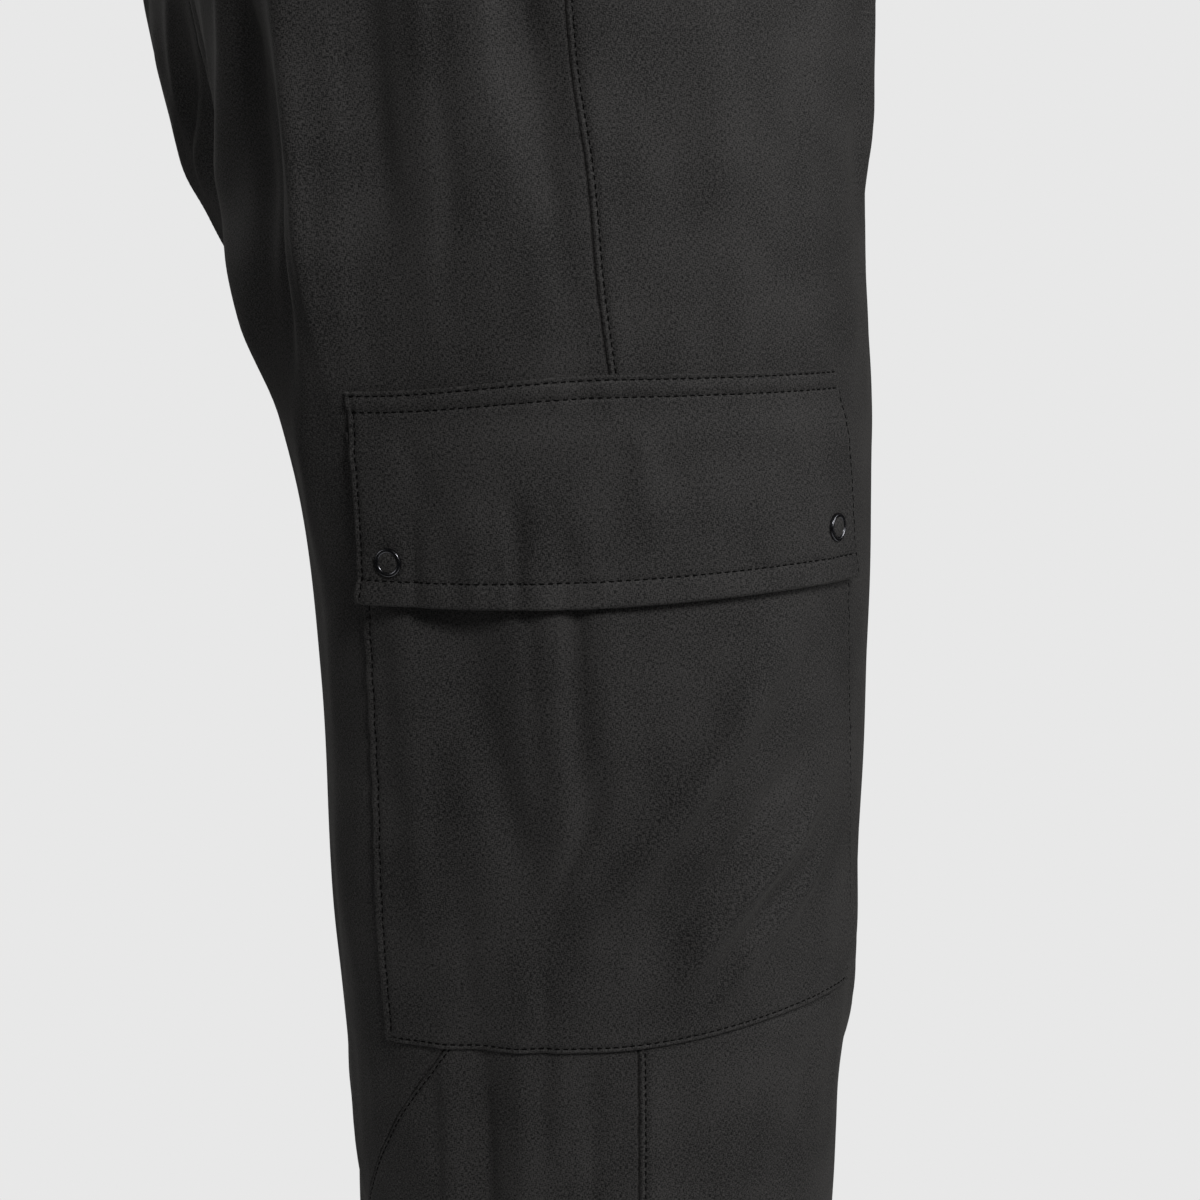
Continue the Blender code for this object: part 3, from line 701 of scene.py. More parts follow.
# ---------------------------------------------------------------------------------------------
# Front panels of the lower leg: the same cloth, sewn to the thigh panels along the slanting seam.
# Their upper edge is lapped over it and topstitched 2 mm in with a matching spun polyester thread,
# and their foot is turned up 20 mm inside and stitched as the hem.
# ---------------------------------------------------------------------------------------------
HEM_DEPTH, HEM_ROW, KNEE_ROW = 0.020, 0.018, 0.0022
SHIN_ROWS = 92
# The turned-up hem: height over the hem's edge, and how far out of the cloth's face.
HEM_TURN = 0.001 * np.array(
    [[3.2, 0.4], [1.6, 0.3], [0.7, 0.0], [0.2, -0.4], [0.0, -0.9], [0.2, -1.4], [0.7, -1.8]]
    + [[1.6, -2.0], [6.0, -2.1], [12.0, -2.1], [20.0, -2.1]]
)
# Its row at the hem's edge, past which the cloth runs up inside.
TURN_START = 4


def hem_out(above):
    """The doubled cloth stands 0.4 mm proud over the hem's depth, pressed in along its stitch row."""
    proud = 0.0004 * (1 - ease((above - HEM_DEPTH) / 0.003))
    return proud - 0.00025 * bell(above - HEM_ROW, 0.0007)


def shin_rows(top, inner, start):
    """Heights of rows from top, one for each column, down to the hem and up again inside it, the
    stand-off that the hem gives them, and their heights on the flat cut."""
    down = spread((top - HEM)[:, None], inner, start, np.array([0.0048, 0.007, 0.010])).T
    turn = np.repeat(HEM_TURN[:, :, None], len(top), axis=2)
    height = np.concatenate([top - down, HEM + turn[:, 0]])
    out = np.concatenate([hem_out(top - down - HEM), turn[:, 1]])
    outside, inside = turn[: TURN_START + 1, 0], turn[TURN_START + 1 :, 0]
    unrolled = np.concatenate([top - down, HEM + outside, HEM - inside])
    return height, out, unrolled


# One stitch lies along its own x axis, in rings of place along it, radius and height in the cloth:
# thin and sunk at both ends.
STITCH_PITCH, STITCH_LENGTH = 0.00305, 0.0023
STITCH_RINGS = 0.001 * np.array(
    [[-1.2, 0.12, -0.30], [-0.7, 0.29, 0.03], [0.7, 0.29, 0.03], [1.2, 0.12, -0.30]]
)
RING_SIDES = 5


def stitch_shape():
    """Points and faces of one stitch: rings of five points round a low arch, closed at the ends."""
    turn = np.linspace(0, 2 * math.pi, RING_SIDES + 1)[:-1]
    along, radius, up = (STITCH_RINGS[:, [k]] for k in range(3))
    ring = np.stack(np.broadcast_arrays(along, radius * np.cos(turn), up + radius * np.sin(turn)), -1)
    faces = grid_faces(len(STITCH_RINGS), RING_SIDES, ring_columns=True).tolist()
    corners = np.arange(ring[..., 0].size)
    ends = [corners[:RING_SIDES].tolist(), corners[::-1][:RING_SIDES].tolist()]
    return ring.reshape(-1, 3), faces + ends


def stitch_row(at, distance, height):
    """Axes and middles (count, 4, xyz) of a row of stitches 3.05 mm apart along a path over the
    cloth. `at` gives the cloth's points from the path's two numbers and a lift."""
    distance, height = np.broadcast_arrays(np.asarray(distance, float), np.asarray(height, float))
    path = at(distance, height, 0.0)
    steps = np.linalg.norm(np.diff(path, axis=0), axis=1)
    run = np.concatenate([[0], np.cumsum(steps)])
    middle = (np.arange(int(run[-1] / STITCH_PITCH)) + 0.5) * STITCH_PITCH
    ends = [middle - STITCH_LENGTH / 2, middle, middle + STITCH_LENGTH / 2]
    place = [(np.interp(e, run, distance), np.interp(e, run, height)) for e in ends]
    start, seat, end = (at(*p, 0.0) for p in place)
    up = at(*place[1], 0.001) - seat
    along = end - start
    along /= np.linalg.norm(along, axis=1, keepdims=True)
    up -= along * (up * along).sum(1, keepdims=True)
    up /= np.linalg.norm(up, axis=1, keepdims=True)
    return np.stack([along, np.cross(up, along), up, (start + end) / 2], axis=1)


def spun_thread(name, colour):
    """Spun polyester sewing thread, ticket 80, two-ply: matt, with a fuzz drawn 0.4 mm fine. Its near-black
    colour is partly the dark thread's own and partly painted shade of the needle holes and of the dip each
    stitch sinks into. It reads as small dark dashes."""
    material, tree, shader = new_material(name)
    place = add(tree, "ShaderNodeTexCoord")
    fuzz = add(tree, "ShaderNodeTexNoise", Vector=(place, "Object"), Scale=2600.0, Detail=1.0)
    bump = add(tree, "ShaderNodeBump", Height=(fuzz, "Fac"), Strength=0.4, Distance=0.0001)
    fill(tree, shader, Base_Color=srgb(colour), Normal=(bump, "Normal"), Roughness=0.7)
    fill(tree, shader, Specular_IOR_Level=0.12)
    return material


# Near-black thread: partly its own dark colour, partly painted shade of the needle holes and sunk stitches.
THREAD_WITH_PAINTED_SHADE = spun_thread("spun_polyester_thread_painted_shade", "#0a0a0a")


def sew(name, rows):
    """One piece of all the stitches of some rows."""
    axes = np.concatenate(rows)
    shape, faces = stitch_shape()
    points = np.einsum("kc,nci->nki", shape, axes[:, :3]) + axes[:, 3:]
    all_faces = []
    for first in range(0, len(axes) * len(shape), len(shape)):
        all_faces += [[first + k for k in face] for face in faces]
    piece = make_mesh(name, points, all_faces, THREAD_WITH_PAINTED_SHADE)
    dress(piece, [])
    return piece


def at_hem(cloth, side):
    """A panel's face along the hem's stitch row, as stitch_row reads it."""
    return lambda distance, height, lift: cloth(side, distance, height, hem_out(HEM_ROW) + lift)


for side, leg in LEGS:
    height, out, unrolled = shin_rows(knee_height, SHIN_ROWS, LAPPED_EDGE)
    distance = front_columns(height)
    below_knee = knee_height - height
    out = out + lapped(below_knee) + pucker(distance, below_knee, 6)
    points = front_cloth(side, distance, height, out)
    piece = lay_cloth("front_panel_lower_" + leg, side, points, flat_cut(distance, unrolled), MAIN_CLOTH)
    dress(piece, ["front_lower_" + leg])

    def on_knee(d, h, lift):
        """The panel's face along the knee seam's stitch row."""
        return front_cloth(side, d, h, lapped(KNEE_ROW) + pucker(d, KNEE_ROW, 6) + lift)

    knee_columns = front_columns(knee_height)[3:-4]
    foot = HEM + HEM_ROW
    foot_columns = np.linspace(0.001, float(panel_width(foot, True)) - 0.001, 80)
    rows = [
        stitch_row(on_knee, knee_columns, knee_height[3:-4] - KNEE_ROW),
        stitch_row(at_hem(front_cloth, side), foot_columns, foot),
    ]
    stitches = sew("front_stitches_" + leg, rows)

# ---------------------------------------------------------------------------------------------
# Back panels: one piece of the main cloth from waistband to hem on each leg, the wider ones. They
# lap the front panels at the outer and inner seams, with one topstitch row along the outer seam,
# the seat and the front rise.
# ---------------------------------------------------------------------------------------------
BACK_COLUMNS, BACK_ROWS = 84, 200


def back_cloth(side, distance, height, out=0.0):
    """Back panel's outer face at a distance back from the outer seam, below 0 to the back: lapped at
    the outer seam and, below the crotch, at the inner seam. The left one laps the right at the seat."""
    width = panel_width(height, False)
    lap = (height < CROTCH) | (side == LEFT)
    to_outer = -distance
    to_inner = hold_in(width - to_outer, lap)
    edges = lapped(to_outer) + np.where(lap, lapped(to_inner), tucked(to_inner))
    puckers = pucker(height, to_outer, 3) + pucker(height, to_inner, 4)
    puckers = puckers - POCKET_SINK * under_pocket(distance, height, SINK_SOFT)
    return leg_cloth(side, to_inner - width, height, edges + puckers + out)


for side, leg in LEGS:
    columns = BACK_COLUMNS + len(LAPPED_EDGE) + len(TUCKED_EDGE)
    rise = np.repeat(rise_rows()[:-1], columns, axis=1)
    shin, shin_out, unrolled = shin_rows(np.full(columns, CROTCH), BACK_ROWS, CROTCH_ROWS)
    height = np.concatenate([rise, shin])
    out = np.concatenate([under_band(rise), shin_out])
    distance = -spread(panel_width(height, False), BACK_COLUMNS, LAPPED_EDGE, TUCKED_EDGE)
    points = back_cloth(side, distance, height, out)
    cut = flat_cut(distance, np.concatenate([rise, unrolled]))
    piece = lay_cloth("back_panel_" + leg, side, points, cut, MAIN_CLOTH)
    dress(piece, ["back_" + leg])

    on_back, on_front = partial(back_cloth, side), partial(front_cloth, side)
    seam_height = np.linspace(BAND_FOOT - 0.001, HEM + 0.001, 700)
    foot = HEM + HEM_ROW
    foot_columns = np.linspace(-0.001, 0.001 - float(panel_width(foot, False)), 90)
    rows = [
        stitch_row(on_back, -LAP_ROW, seam_height),
        stitch_row(at_hem(back_cloth, side), foot_columns, foot),
    ]
    if side == LEFT:
        seat_height = np.linspace(BAND_FOOT - 0.001, CROTCH + 0.006, 260)
        rows.append(stitch_row(on_back, LAP_ROW - panel_width(seat_height, False), seat_height))
        rows.append(stitch_row(on_front, panel_width(seat_height, True) - LAP_ROW, seat_height))
    stitches = sew("back_stitches_" + leg, rows)

# ---------------------------------------------------------------------------------------------
# Cargo pockets: a flat patch of the same cloth on each outer thigh, its edges turned under and sewn
# down over the outer seam with one row. Empty, it keeps a slight fullness and diagonal drag lines.
# ---------------------------------------------------------------------------------------------
PATCH_GAP, PATCH_WALL, POCKET_PUFF, UNDER_FLAP = 0.0006, 0.0012, 0.0026, -0.348
POCKET_CREASES = {
    LEFT: (
        (
            ((43, -0.310), (40, -0.385), (37.5, -0.418), (33.5, -0.448), (28.5, -0.478), (25, -0.530)),
            0.0112,
            -0.0050,
        ),
        (((27.5, -0.320), (26.8, -0.390), (26, -0.430), (24, -0.480)), 0.0036, -0.0013),
        (((18.5, -0.320), (17.8, -0.395), (17.3, -0.440), (16, -0.480)), 0.0036, -0.0024),
        (((22, -0.320), (22, -0.410), (20, -0.470)), 0.0045, 0.0006),
        (((12.5, -0.360), (12.5, -0.410), (11, -0.460)), 0.0050, 0.0010),
        (((54.5, -0.320), (53.5, -0.400), (52, -0.480), (50, -0.540)), 0.0060, 0.0022),
        (((61.5, -0.370), (61.5, -0.450), (60, -0.540)), 0.0040, -0.0012),
        (
            ((-27, -0.375), (-15, -0.415), (-5, -0.446), (3, -0.467), (11, -0.489), (22, -0.508)),
            0.0076,
            0.0072,
        ),
        (((-36, -0.425), (-20, -0.455), (-4, -0.490), (8, -0.528)), 0.0056, -0.0036),
        (((-40, -0.448), (-26, -0.474), (-16, -0.489), (-6, -0.508), (6, -0.538)), 0.0054, 0.0058),
        (((-42, -0.472), (-30, -0.486), (-18, -0.503), (-4, -0.534)), 0.0034, -0.0020),
        (((-44, -0.468), (-30, -0.492), (-17, -0.513), (-6, -0.540)), 0.0042, 0.0034),
        (((12, -0.435), (16, -0.465), (24, -0.500)), 0.0028, -0.0026),
        (((25, -0.505), (24.5, -0.530), (24.5, -0.560)), 0.0032, -0.0014),
        (((43, -0.470), (42, -0.515), (41, -0.560)), 0.0070, -0.0016),
    ),
    RIGHT: (
        (((36, -0.374), (33, -0.420), (34, -0.480)), 0.0060, -0.0018),
        (((10, -0.372), (12, -0.430), (8, -0.470)), 0.0042, -0.0010),
        (((20, -0.380), (19, -0.440), (23, -0.500)), 0.0055, 0.0010),
        (((-24, -0.380), (-14, -0.430), (2, -0.480), (18, -0.520)), 0.0060, 0.0014),
        (((-34, -0.420), (-22, -0.465), (-2, -0.510)), 0.0052, -0.0011),
        (((-42, -0.490), (-22, -0.515), (0, -0.530)), 0.0046, 0.0010),
    ),
}


def pocket_out(across, down):
    """How far the pocket's outer face stands off the panel: more in its middle, least at its seams
    and at its mouth, which the flap holds down."""
    middle = (4 * np.clip(across * (1 - across), 0, 1)) ** 0.7 * (1 - np.clip(down, 0, 1) ** 3)
    middle = middle * ease(np.clip(down, 0, 1) / 0.25)
    return PATCH_GAP + PATCH_WALL + POCKET_PUFF * middle


def pocket_back(down):
    """Distance of the pocket's back edge from the outer seam, at a share down."""
    return blend(POCKET_BACK_TOP, POCKET_BACK_FOOT, down)


def pocket_foot(across):
    """Height of the pocket's foot, at a share across: it rises towards the back."""
    return POCKET_FOOT + POCKET_BACK_RAISE * ease((across - 0.4) / 0.6)


def pocket_place(across, down):
    """Distance from the outer seam and height, from across 0 at the front edge to 1 at the back."""
    distance = blend(POCKET_FRONT, -pocket_back(down), across)
    return distance, blend(POCKET_TOP, pocket_foot(across), down)


def pocket_share(distance, height):
    """The pocket's across and down at a distance and height, found by putting them back in."""
    down = (POCKET_TOP - height) / (POCKET_TOP - POCKET_FOOT)
    for _ in range(4):
        across = (POCKET_FRONT - distance) / (POCKET_FRONT + pocket_back(down))
        down = (POCKET_TOP - height) / (POCKET_TOP - pocket_foot(across))
    return across, down


def pocket_fullness(side, distance, height):
    """Stand-off of the pocket's outer face with its creases, which fade towards its three seams and
    over the 50 mm below the flap's foot."""
    across, down = pocket_share(distance, height)
    to_edge = np.minimum(POCKET_FRONT - distance, distance + pocket_back(down))
    to_edge = np.minimum(to_edge, height - POCKET_FOOT)
    creases = crease_height(POCKET_CREASES[side], angle_at(distance, height), height)
    shown = ease((to_edge - 0.003) / 0.012) * ease((UNDER_FLAP - height) / 0.050)
    return pocket_out(across, down) + creases * shown


def pressed_edge(to_edge, row):
    """Turned-under edge of a patch: rolled down 0.7 mm at its edge, pressed in along its stitch row,
    and a little full past the row."""
    roll = -0.0007 * np.clip(1 - to_edge / 0.0009, 0, 1) ** 2
    fullness = 0.00015 * bell(to_edge - row - 0.0022, 0.0012)
    return roll - 0.00055 * bell(to_edge - row, GROOVE) + fullness


POCKET_FRONT_ROW, POCKET_BACK_ROW, POCKET_FOOT_ROW = 0.0030, 0.0012, 0.0018


def pocket_cloth(side, distance, height, lift=0.0):
    """Outer face of the pocket at a distance from the outer seam and a height."""
    across, down = pocket_share(distance, height)
    to_front = POCKET_FRONT - distance
    to_back = distance + pocket_back(down)
    to_foot = height - pocket_foot(across)
    edges = pressed_edge(to_front, POCKET_FRONT_ROW) + pressed_edge(to_back, POCKET_BACK_ROW)
    edges = edges + pressed_edge(to_foot, POCKET_FOOT_ROW)
    puckers = pucker(height, to_front, 21) + pucker(height, to_back, 22) + pucker(distance, to_foot, 23)
    out = pocket_fullness(side, distance, height) + edges + puckers
    return leg_cloth(side, distance, height, out + lift)


POCKET_CLOTH = woven_polyester("woven_polyester_pocket", CLOTH_DARK, CLOTH_LIGHT)
PATCH_COLUMNS = PATCH_ROWS = 90
PATCH_EDGE = 0.001 * np.array([0, 0.15, 0.35, 0.6, 0.9, 1.2, 1.6, 2.0, 2.5, 3.0, 3.5, 4.2, 5.2, 7, 9, 12])
for side, leg in LEGS:
    width = POCKET_FRONT + POCKET_BACK_TOP
    across = spread(width, PATCH_COLUMNS, PATCH_EDGE, PATCH_EDGE)[None, :] / width
    depth = POCKET_TOP - POCKET_FOOT
    down = spread(depth, PATCH_ROWS, np.array([0.0, 0.002]), PATCH_EDGE)[:, None] / depth
    distance, height = pocket_place(across, down)
    points = pocket_cloth(side, distance, height)
    piece = lay_cloth("pocket_patch_" + leg, side, points, flat_cut(distance, height), POCKET_CLOTH)
    dress(piece, ["pocket_" + leg])

    on_pocket = partial(pocket_cloth, side)
    run = np.linspace(0.02, 1 - POCKET_FOOT_ROW / depth, 200)
    distance, height = pocket_place(0.0, run)
    rows = [stitch_row(on_pocket, distance - POCKET_FRONT_ROW, height)]
    distance, height = pocket_place(1.0, run)
    rows.append(stitch_row(on_pocket, distance + POCKET_BACK_ROW, height))
    run = np.linspace(POCKET_FRONT_ROW, width - POCKET_BACK_ROW, 200) / width
    distance, height = pocket_place(run, 1.0)
    rows.append(stitch_row(on_pocket, distance, height + POCKET_FOOT_ROW))
    stitches = sew("pocket_stitches_" + leg, rows)

# ---------------------------------------------------------------------------------------------
# Pocket flaps: doubled cloth, turned out and pressed, sewn down along the top with two rows and
# topstitched on its free edges. The snaps hold its lower corners, so it dents beside them.
# ---------------------------------------------------------------------------------------------
FLAP_TOP, FLAP_FOOT, FLAP_FRONT = -0.3005, -0.3825, 0.0940
FLAP_BACK_TOP, FLAP_BACK_FOOT, FLAP_CORNER_DROP, FLAP_BACK_RAISE = 0.0965, 0.0975, 0.0065, 0.0048
FLAP_SEWN, FLAP_LIFT, FLAP_FRONT_LIFT, LAYER_GAP = 0.009, 0.0012, 0.0026, 0.0005
FLAP_DEPTH = FLAP_TOP - FLAP_FOOT
FLAP_WIDTH = FLAP_FRONT + FLAP_BACK_TOP
FLAP_ROWS = (0.0018, 0.0080)
FLAP_FOOT_ROW, FLAP_FRONT_ROW, FLAP_BACK_ROW = 0.0095, 0.0022, 0.0011
FLAP_CREASES = {
    LEFT: (
        (((28, -0.335), (28.2, -0.365), (28.4, -0.392)), 0.0024, -0.0026),
        (((48.5, -0.345), (49, -0.368), (49, -0.392)), 0.0026, -0.0022),
        (((48, -0.308), (46.5, -0.335), (45, -0.364)), 0.0060, -0.0014),
        (((6, -0.312), (6, -0.336), (5, -0.364)), 0.0046, 0.0015),
        (((-28, -0.326), (-30, -0.350), (-34, -0.382)), 0.0070, 0.0012),
        (((20, -0.346), (20, -0.368), (20.5, -0.392)), 0.0034, -0.0012),
        (((37, -0.335), (37, -0.365), (37, -0.392)), 0.0050, 0.0012),
    ),
    RIGHT: (
        (((30, -0.352), (31, -0.368), (31, -0.384)), 0.0034, -0.0012),
        (((12, -0.318), (10, -0.340), (12, -0.372)), 0.0060, -0.0008),
        (((-8, -0.320), (-9, -0.345), (-6, -0.376)), 0.0055, 0.0008),
        (((-30, -0.350), (-30, -0.366), (-32, -0.384)), 0.0036, -0.0010),
    ),
}
SNAPS = (("front", 0.0820, -0.3670), ("back", -0.0835, -0.3580))
# The ring's middle radius, half its width, and the steps of its mesh round the snap and its section.
SNAP_RADIUS, SNAP_WIRE, RING_STEPS, BEAD_STEPS, CAP_STEPS = 0.0043, 0.00092, 72, 16, 12


def flap_place(across, drop):
    """Distance from the outer seam and height at a share across and a depth below the sewn edge."""
    down = drop / FLAP_DEPTH
    distance = blend(FLAP_FRONT, -blend(FLAP_BACK_TOP, FLAP_BACK_FOOT, down), across)
    corner = FLAP_CORNER_DROP * (1 - ease(across / 0.5)) * (1 - down)
    raised = FLAP_BACK_RAISE * ease((across - 0.3) / 0.7) * down
    return distance, FLAP_TOP - drop - corner + raised


def flap_cloth(side, across, drop, lift=0.0):
    """Outer face of the flap: on the panel where it is sewn down, over the pocket below, lifted a
    little at its foot and more at its front corner, rolled at its three free edges."""
    distance, height = flap_place(across, drop)
    down = drop / FLAP_DEPTH
    free = ease((drop - FLAP_SEWN) / 0.016)
    over_pocket = ease((POCKET_TOP - height) / 0.004)
    fullness = pocket_out(*pocket_share(distance, np.minimum(height, POCKET_TOP))) - PATCH_GAP - PATCH_WALL
    lifted = FLAP_LIFT + FLAP_FRONT_LIFT * ease(1 - across / 0.55)
    on_pocket = PATCH_GAP + PATCH_WALL + fullness * over_pocket + LAYER_GAP + PATCH_WALL + lifted * down
    out = blend(PATCH_GAP + PATCH_WALL, on_pocket, free)
    out = out + crease_height(FLAP_CREASES[side], angle_at(distance, height), height) * free
    to_front, to_back = across * FLAP_WIDTH, (1 - across) * FLAP_WIDTH
    to_foot = FLAP_DEPTH - drop
    edges = pressed_edge(to_front, FLAP_FRONT_ROW) + pressed_edge(to_back, FLAP_BACK_ROW)
    edges = edges + 0.0015 * ease(1 - to_foot / 0.013)
    edges = edges - 0.0008 * np.clip(1 - to_foot / 0.0011, 0, 1) ** 2
    edges = edges - 0.00045 * bell(to_foot - FLAP_FOOT_ROW, GROOVE)
    edges = edges - 0.0007 * np.clip(1 - drop / 0.0009, 0, 1) ** 2
    for row in FLAP_ROWS:
        edges = edges - 0.00050 * bell(drop - row, GROOVE)
    between = 0.00025 * bell(drop - 0.0048, 0.0018)
    puckers = pucker(distance, np.abs(drop - FLAP_ROWS[1]), 31) + pucker(height, to_front, 32)
    puckers = puckers + pucker(distance, np.abs(to_foot - FLAP_FOOT_ROW), 33) + pucker(height, to_back, 34)
    dents = 0.0
    for _, snap_distance, snap_height in SNAPS:
        ring = np.hypot(distance - snap_distance, height - snap_height)
        dents = dents - 0.0005 * bell(ring - SNAP_RADIUS, 0.0022) - 0.0004 * bell(ring, 0.012)
    return leg_cloth(side, distance, height, out + edges + between + puckers + dents + lift)


FLAP_EDGE = 0.001 * np.array([0, 0.15, 0.35, 0.6, 0.85, 1.1, 1.4, 1.8, 2.2, 2.6, 3.1, 4, 5.2, 7, 9, 11])
FLAP_TOP_ROWS = 0.001 * np.array(
    [0, 0.2, 0.5, 0.9, 1.4, 1.8, 2.2, 2.8, 3.8, 5, 6.2, 7.2, 7.7, 8, 8.4, 9, 9.6, 10.6, 11.8, 13]
)
FLAP_FOOT_ROWS = 0.001 * np.array(
    [0, 0.2, 0.45, 0.75, 1.1, 1.6, 2.6, 4.2, 6, 7.6, 8.6, 9.2, 9.5, 9.9, 10.6, 12]
)
FLAP_COLUMNS, FLAP_INNER_ROWS = 84, 28
for side, leg in LEGS:
    across = spread(FLAP_WIDTH, FLAP_COLUMNS, FLAP_EDGE, FLAP_EDGE)[None, :] / FLAP_WIDTH
    drop = spread(FLAP_DEPTH, FLAP_INNER_ROWS, FLAP_TOP_ROWS, FLAP_FOOT_ROWS)[:, None]
    points = flap_cloth(side, across, drop)
    cut = flat_cut(*flap_place(across, drop))
    piece = lay_cloth("flap_patch_" + leg, side, points, cut, POCKET_CLOTH, PATCH_WALL)
    dress(piece, ["pocket_flap_" + leg])

    on_flap = partial(flap_cloth, side)
    run = np.linspace(0.0012, FLAP_WIDTH - 0.0012, 220) / FLAP_WIDTH
    rows = [stitch_row(on_flap, run, row) for row in FLAP_ROWS]
    rows.append(stitch_row(on_flap, run[3:-3], FLAP_DEPTH - FLAP_FOOT_ROW))
    run = np.linspace(FLAP_ROWS[1], FLAP_DEPTH - 0.001, 90)
    rows.append(stitch_row(on_flap, FLAP_FRONT_ROW / FLAP_WIDTH, run))
    rows.append(stitch_row(on_flap, 1 - FLAP_BACK_ROW / FLAP_WIDTH, run))
    flap_stitches = sew("flap_stitches_" + leg, rows)

    # Ring snaps: a crimped open ring of dark nickelled brass round a cap of the flap's own cloth,
    # which the stud's post pushes up. Turned and tumbled smooth, so it shows thin bright arcs.
    if side == LEFT:
        nickel, tree, shader = new_material("black_nickelled_brass")
        place = add(tree, "ShaderNodeTexCoord")
        scuff = add(tree, "ShaderNodeTexNoise", Vector=(place, "Object"), Scale=900.0, Detail=2.0)
        gloss = add(tree, "ShaderNodeMapRange", Value=(scuff, "Fac"), To_Min=0.16, To_Max=0.34)
        fill(tree, shader, Base_Color=srgb("#727276"), Metallic=1.0, Roughness=(gloss, "Result"))
    caps = []
    for name, snap_distance, snap_height in SNAPS:
        drop_at = FLAP_TOP - snap_height
        for _ in range(4):
            back = blend(FLAP_BACK_TOP, FLAP_BACK_FOOT, drop_at / FLAP_DEPTH)
            across_at = (FLAP_FRONT - snap_distance) / (FLAP_FRONT + back)
            drop_at += flap_place(across_at, drop_at)[1] - snap_height
        step = 0.003
        across_step = np.array([-step, step, 0, 0]) / FLAP_WIDTH
        near = flap_cloth(side, across_at + across_step, drop_at + np.array([0, 0, -step, step]))
        along = near[1] - near[0]
        up = near[2] - near[3]
        normal = np.cross(along, up)
        normal *= np.sign(normal[0] * side) / np.linalg.norm(normal)
        along /= np.linalg.norm(along)
        up = np.cross(normal, along)
        seat = near.mean(0)
        turn = np.linspace(0, 2 * math.pi, RING_STEPS + 1)[:-1][:, None]
        bead = np.linspace(0, 2 * math.pi, BEAD_STEPS + 1)[:-1][None, :]
        radius = SNAP_RADIUS + SNAP_WIRE * signed_power(np.cos(bead), 0.8)
        rise = 0.0002 + 0.00095 * signed_power(np.sin(bead), 0.8) + 0.0001 * np.cos(bead)
        spoke = np.cos(turn)[..., None] * along + np.sin(turn)[..., None] * up
        ring_points = seat + radius[..., None] * spoke + rise[..., None] * normal
        faces = grid_faces(RING_STEPS, BEAD_STEPS, ring_rows=True, ring_columns=True)
        faces = facing(faces, ring_points, 0, BEAD_STEPS // 4, normal)
        ring = make_mesh("ring_snap_" + name + "_" + leg, ring_points, faces, nickel)
        dress(ring, ["snap_" + name + "_" + leg])
        reach = np.linspace(0.02, 1.0, CAP_STEPS)[None, :] * (SNAP_RADIUS - 0.0003)
        dome = 0.0002 + 0.0012 * (1 - (reach / SNAP_RADIUS) ** 2) ** 0.6
        cap_points = seat + reach[..., None] * spoke + dome[..., None] * normal
        faces = facing(grid_faces(RING_STEPS, CAP_STEPS, ring_rows=True), cap_points, 0, 4, normal)
        cap = make_mesh("snap_cap_" + name + "_" + leg, cap_points, faces, POCKET_CLOTH)
        set_cut(cap, np.stack([reach * np.cos(turn), reach * np.sin(turn)], -1))
        dress(cap, [])
        caps += [ring, cap]

# ---------------------------------------------------------------------------------------------
# Waistband: the main cloth doubled over a 40 mm knitted elastic, which draws it into fine gathers,
# with three rows of stitches through all layers. It stands above all the panels.
# ---------------------------------------------------------------------------------------------
BAND_CLOTH = woven_polyester("woven_polyester_band", CLOTH_DARK, "#535150")
BAND_ROWS = (0.0065, 0.0200, 0.0335)
BAND_FACE_OUT, BAND_INSIDE_OUT, BAND_TURN = 0.0008, -0.0018, 0.0016
# Depths below the top along either flat face.
BAND_FACE = np.linspace(BAND_TURN, -BAND_FOOT - BAND_TURN, 25)
# Columns of a half ring, its length on the cut and the cloth's run over the profile.
HALF_COLUMNS, BAND_LENGTH, BAND_RUN = 360, 0.94, 0.084


def band_profile():
    """Depths below the top and stand-off of the band's closed profile, a rounded flat loop: up the
    outer face, over the top, down inside and round the foot."""
    over = np.linspace(0, math.pi, 7)[1:-1]
    top_depth, top_out = BAND_TURN * (1 - np.sin(over)), -0.0005 + 0.0013 * np.cos(over)
    depth = np.concatenate([BAND_FACE[::-1], top_depth, BAND_FACE, -BAND_FOOT - top_depth])
    outer, inner = np.full_like(BAND_FACE, BAND_FACE_OUT), np.full_like(BAND_FACE, BAND_INSIDE_OUT)
    return depth, np.concatenate([outer, top_out, inner, top_out[::-1]])


def band_cloth(side, share, depth, out, lift=0.0):
    """Points of the waistband: share goes from -1 at the centre back to 1 at the centre front along
    the half ring. Its gathers are waves round the ring, quieter on the stitch rows, between which
    the cloth puffs up."""
    height = -np.asarray(depth, float)
    half = section("half", height)
    centre = section("outer", height) - half
    edge = np.arccos(-((centre / half) ** (1 / ROUNDNESS)))
    length = length_round(edge, height)
    back = length_round(-edge, height)
    angle = look_up(ANGLE_AT, TABLE_LENGTHS, height, blend(back, length, (share + 1) / 2))
    x = surface(angle, height)[..., 0]
    round_ring = share * 0.235 * side
    puff = np.ones(np.broadcast(share, depth).shape)
    for row in BAND_ROWS:
        puff = puff * (1 - 0.8 * bell(depth - row, 0.0022))
    ends = ease(x / 0.004)
    gathers = waves(round_ring + 0.02 * depth, 0.0055, 0.0085, 5, 41) * ends
    face = np.where(out > -0.0005, 1.0, -0.6)
    fullness = 0.0005 * puff + 0.00045 * gathers * (0.35 + 0.65 * puff) - 0.0002
    return surface(angle, height, side, out + face * fullness + lift)


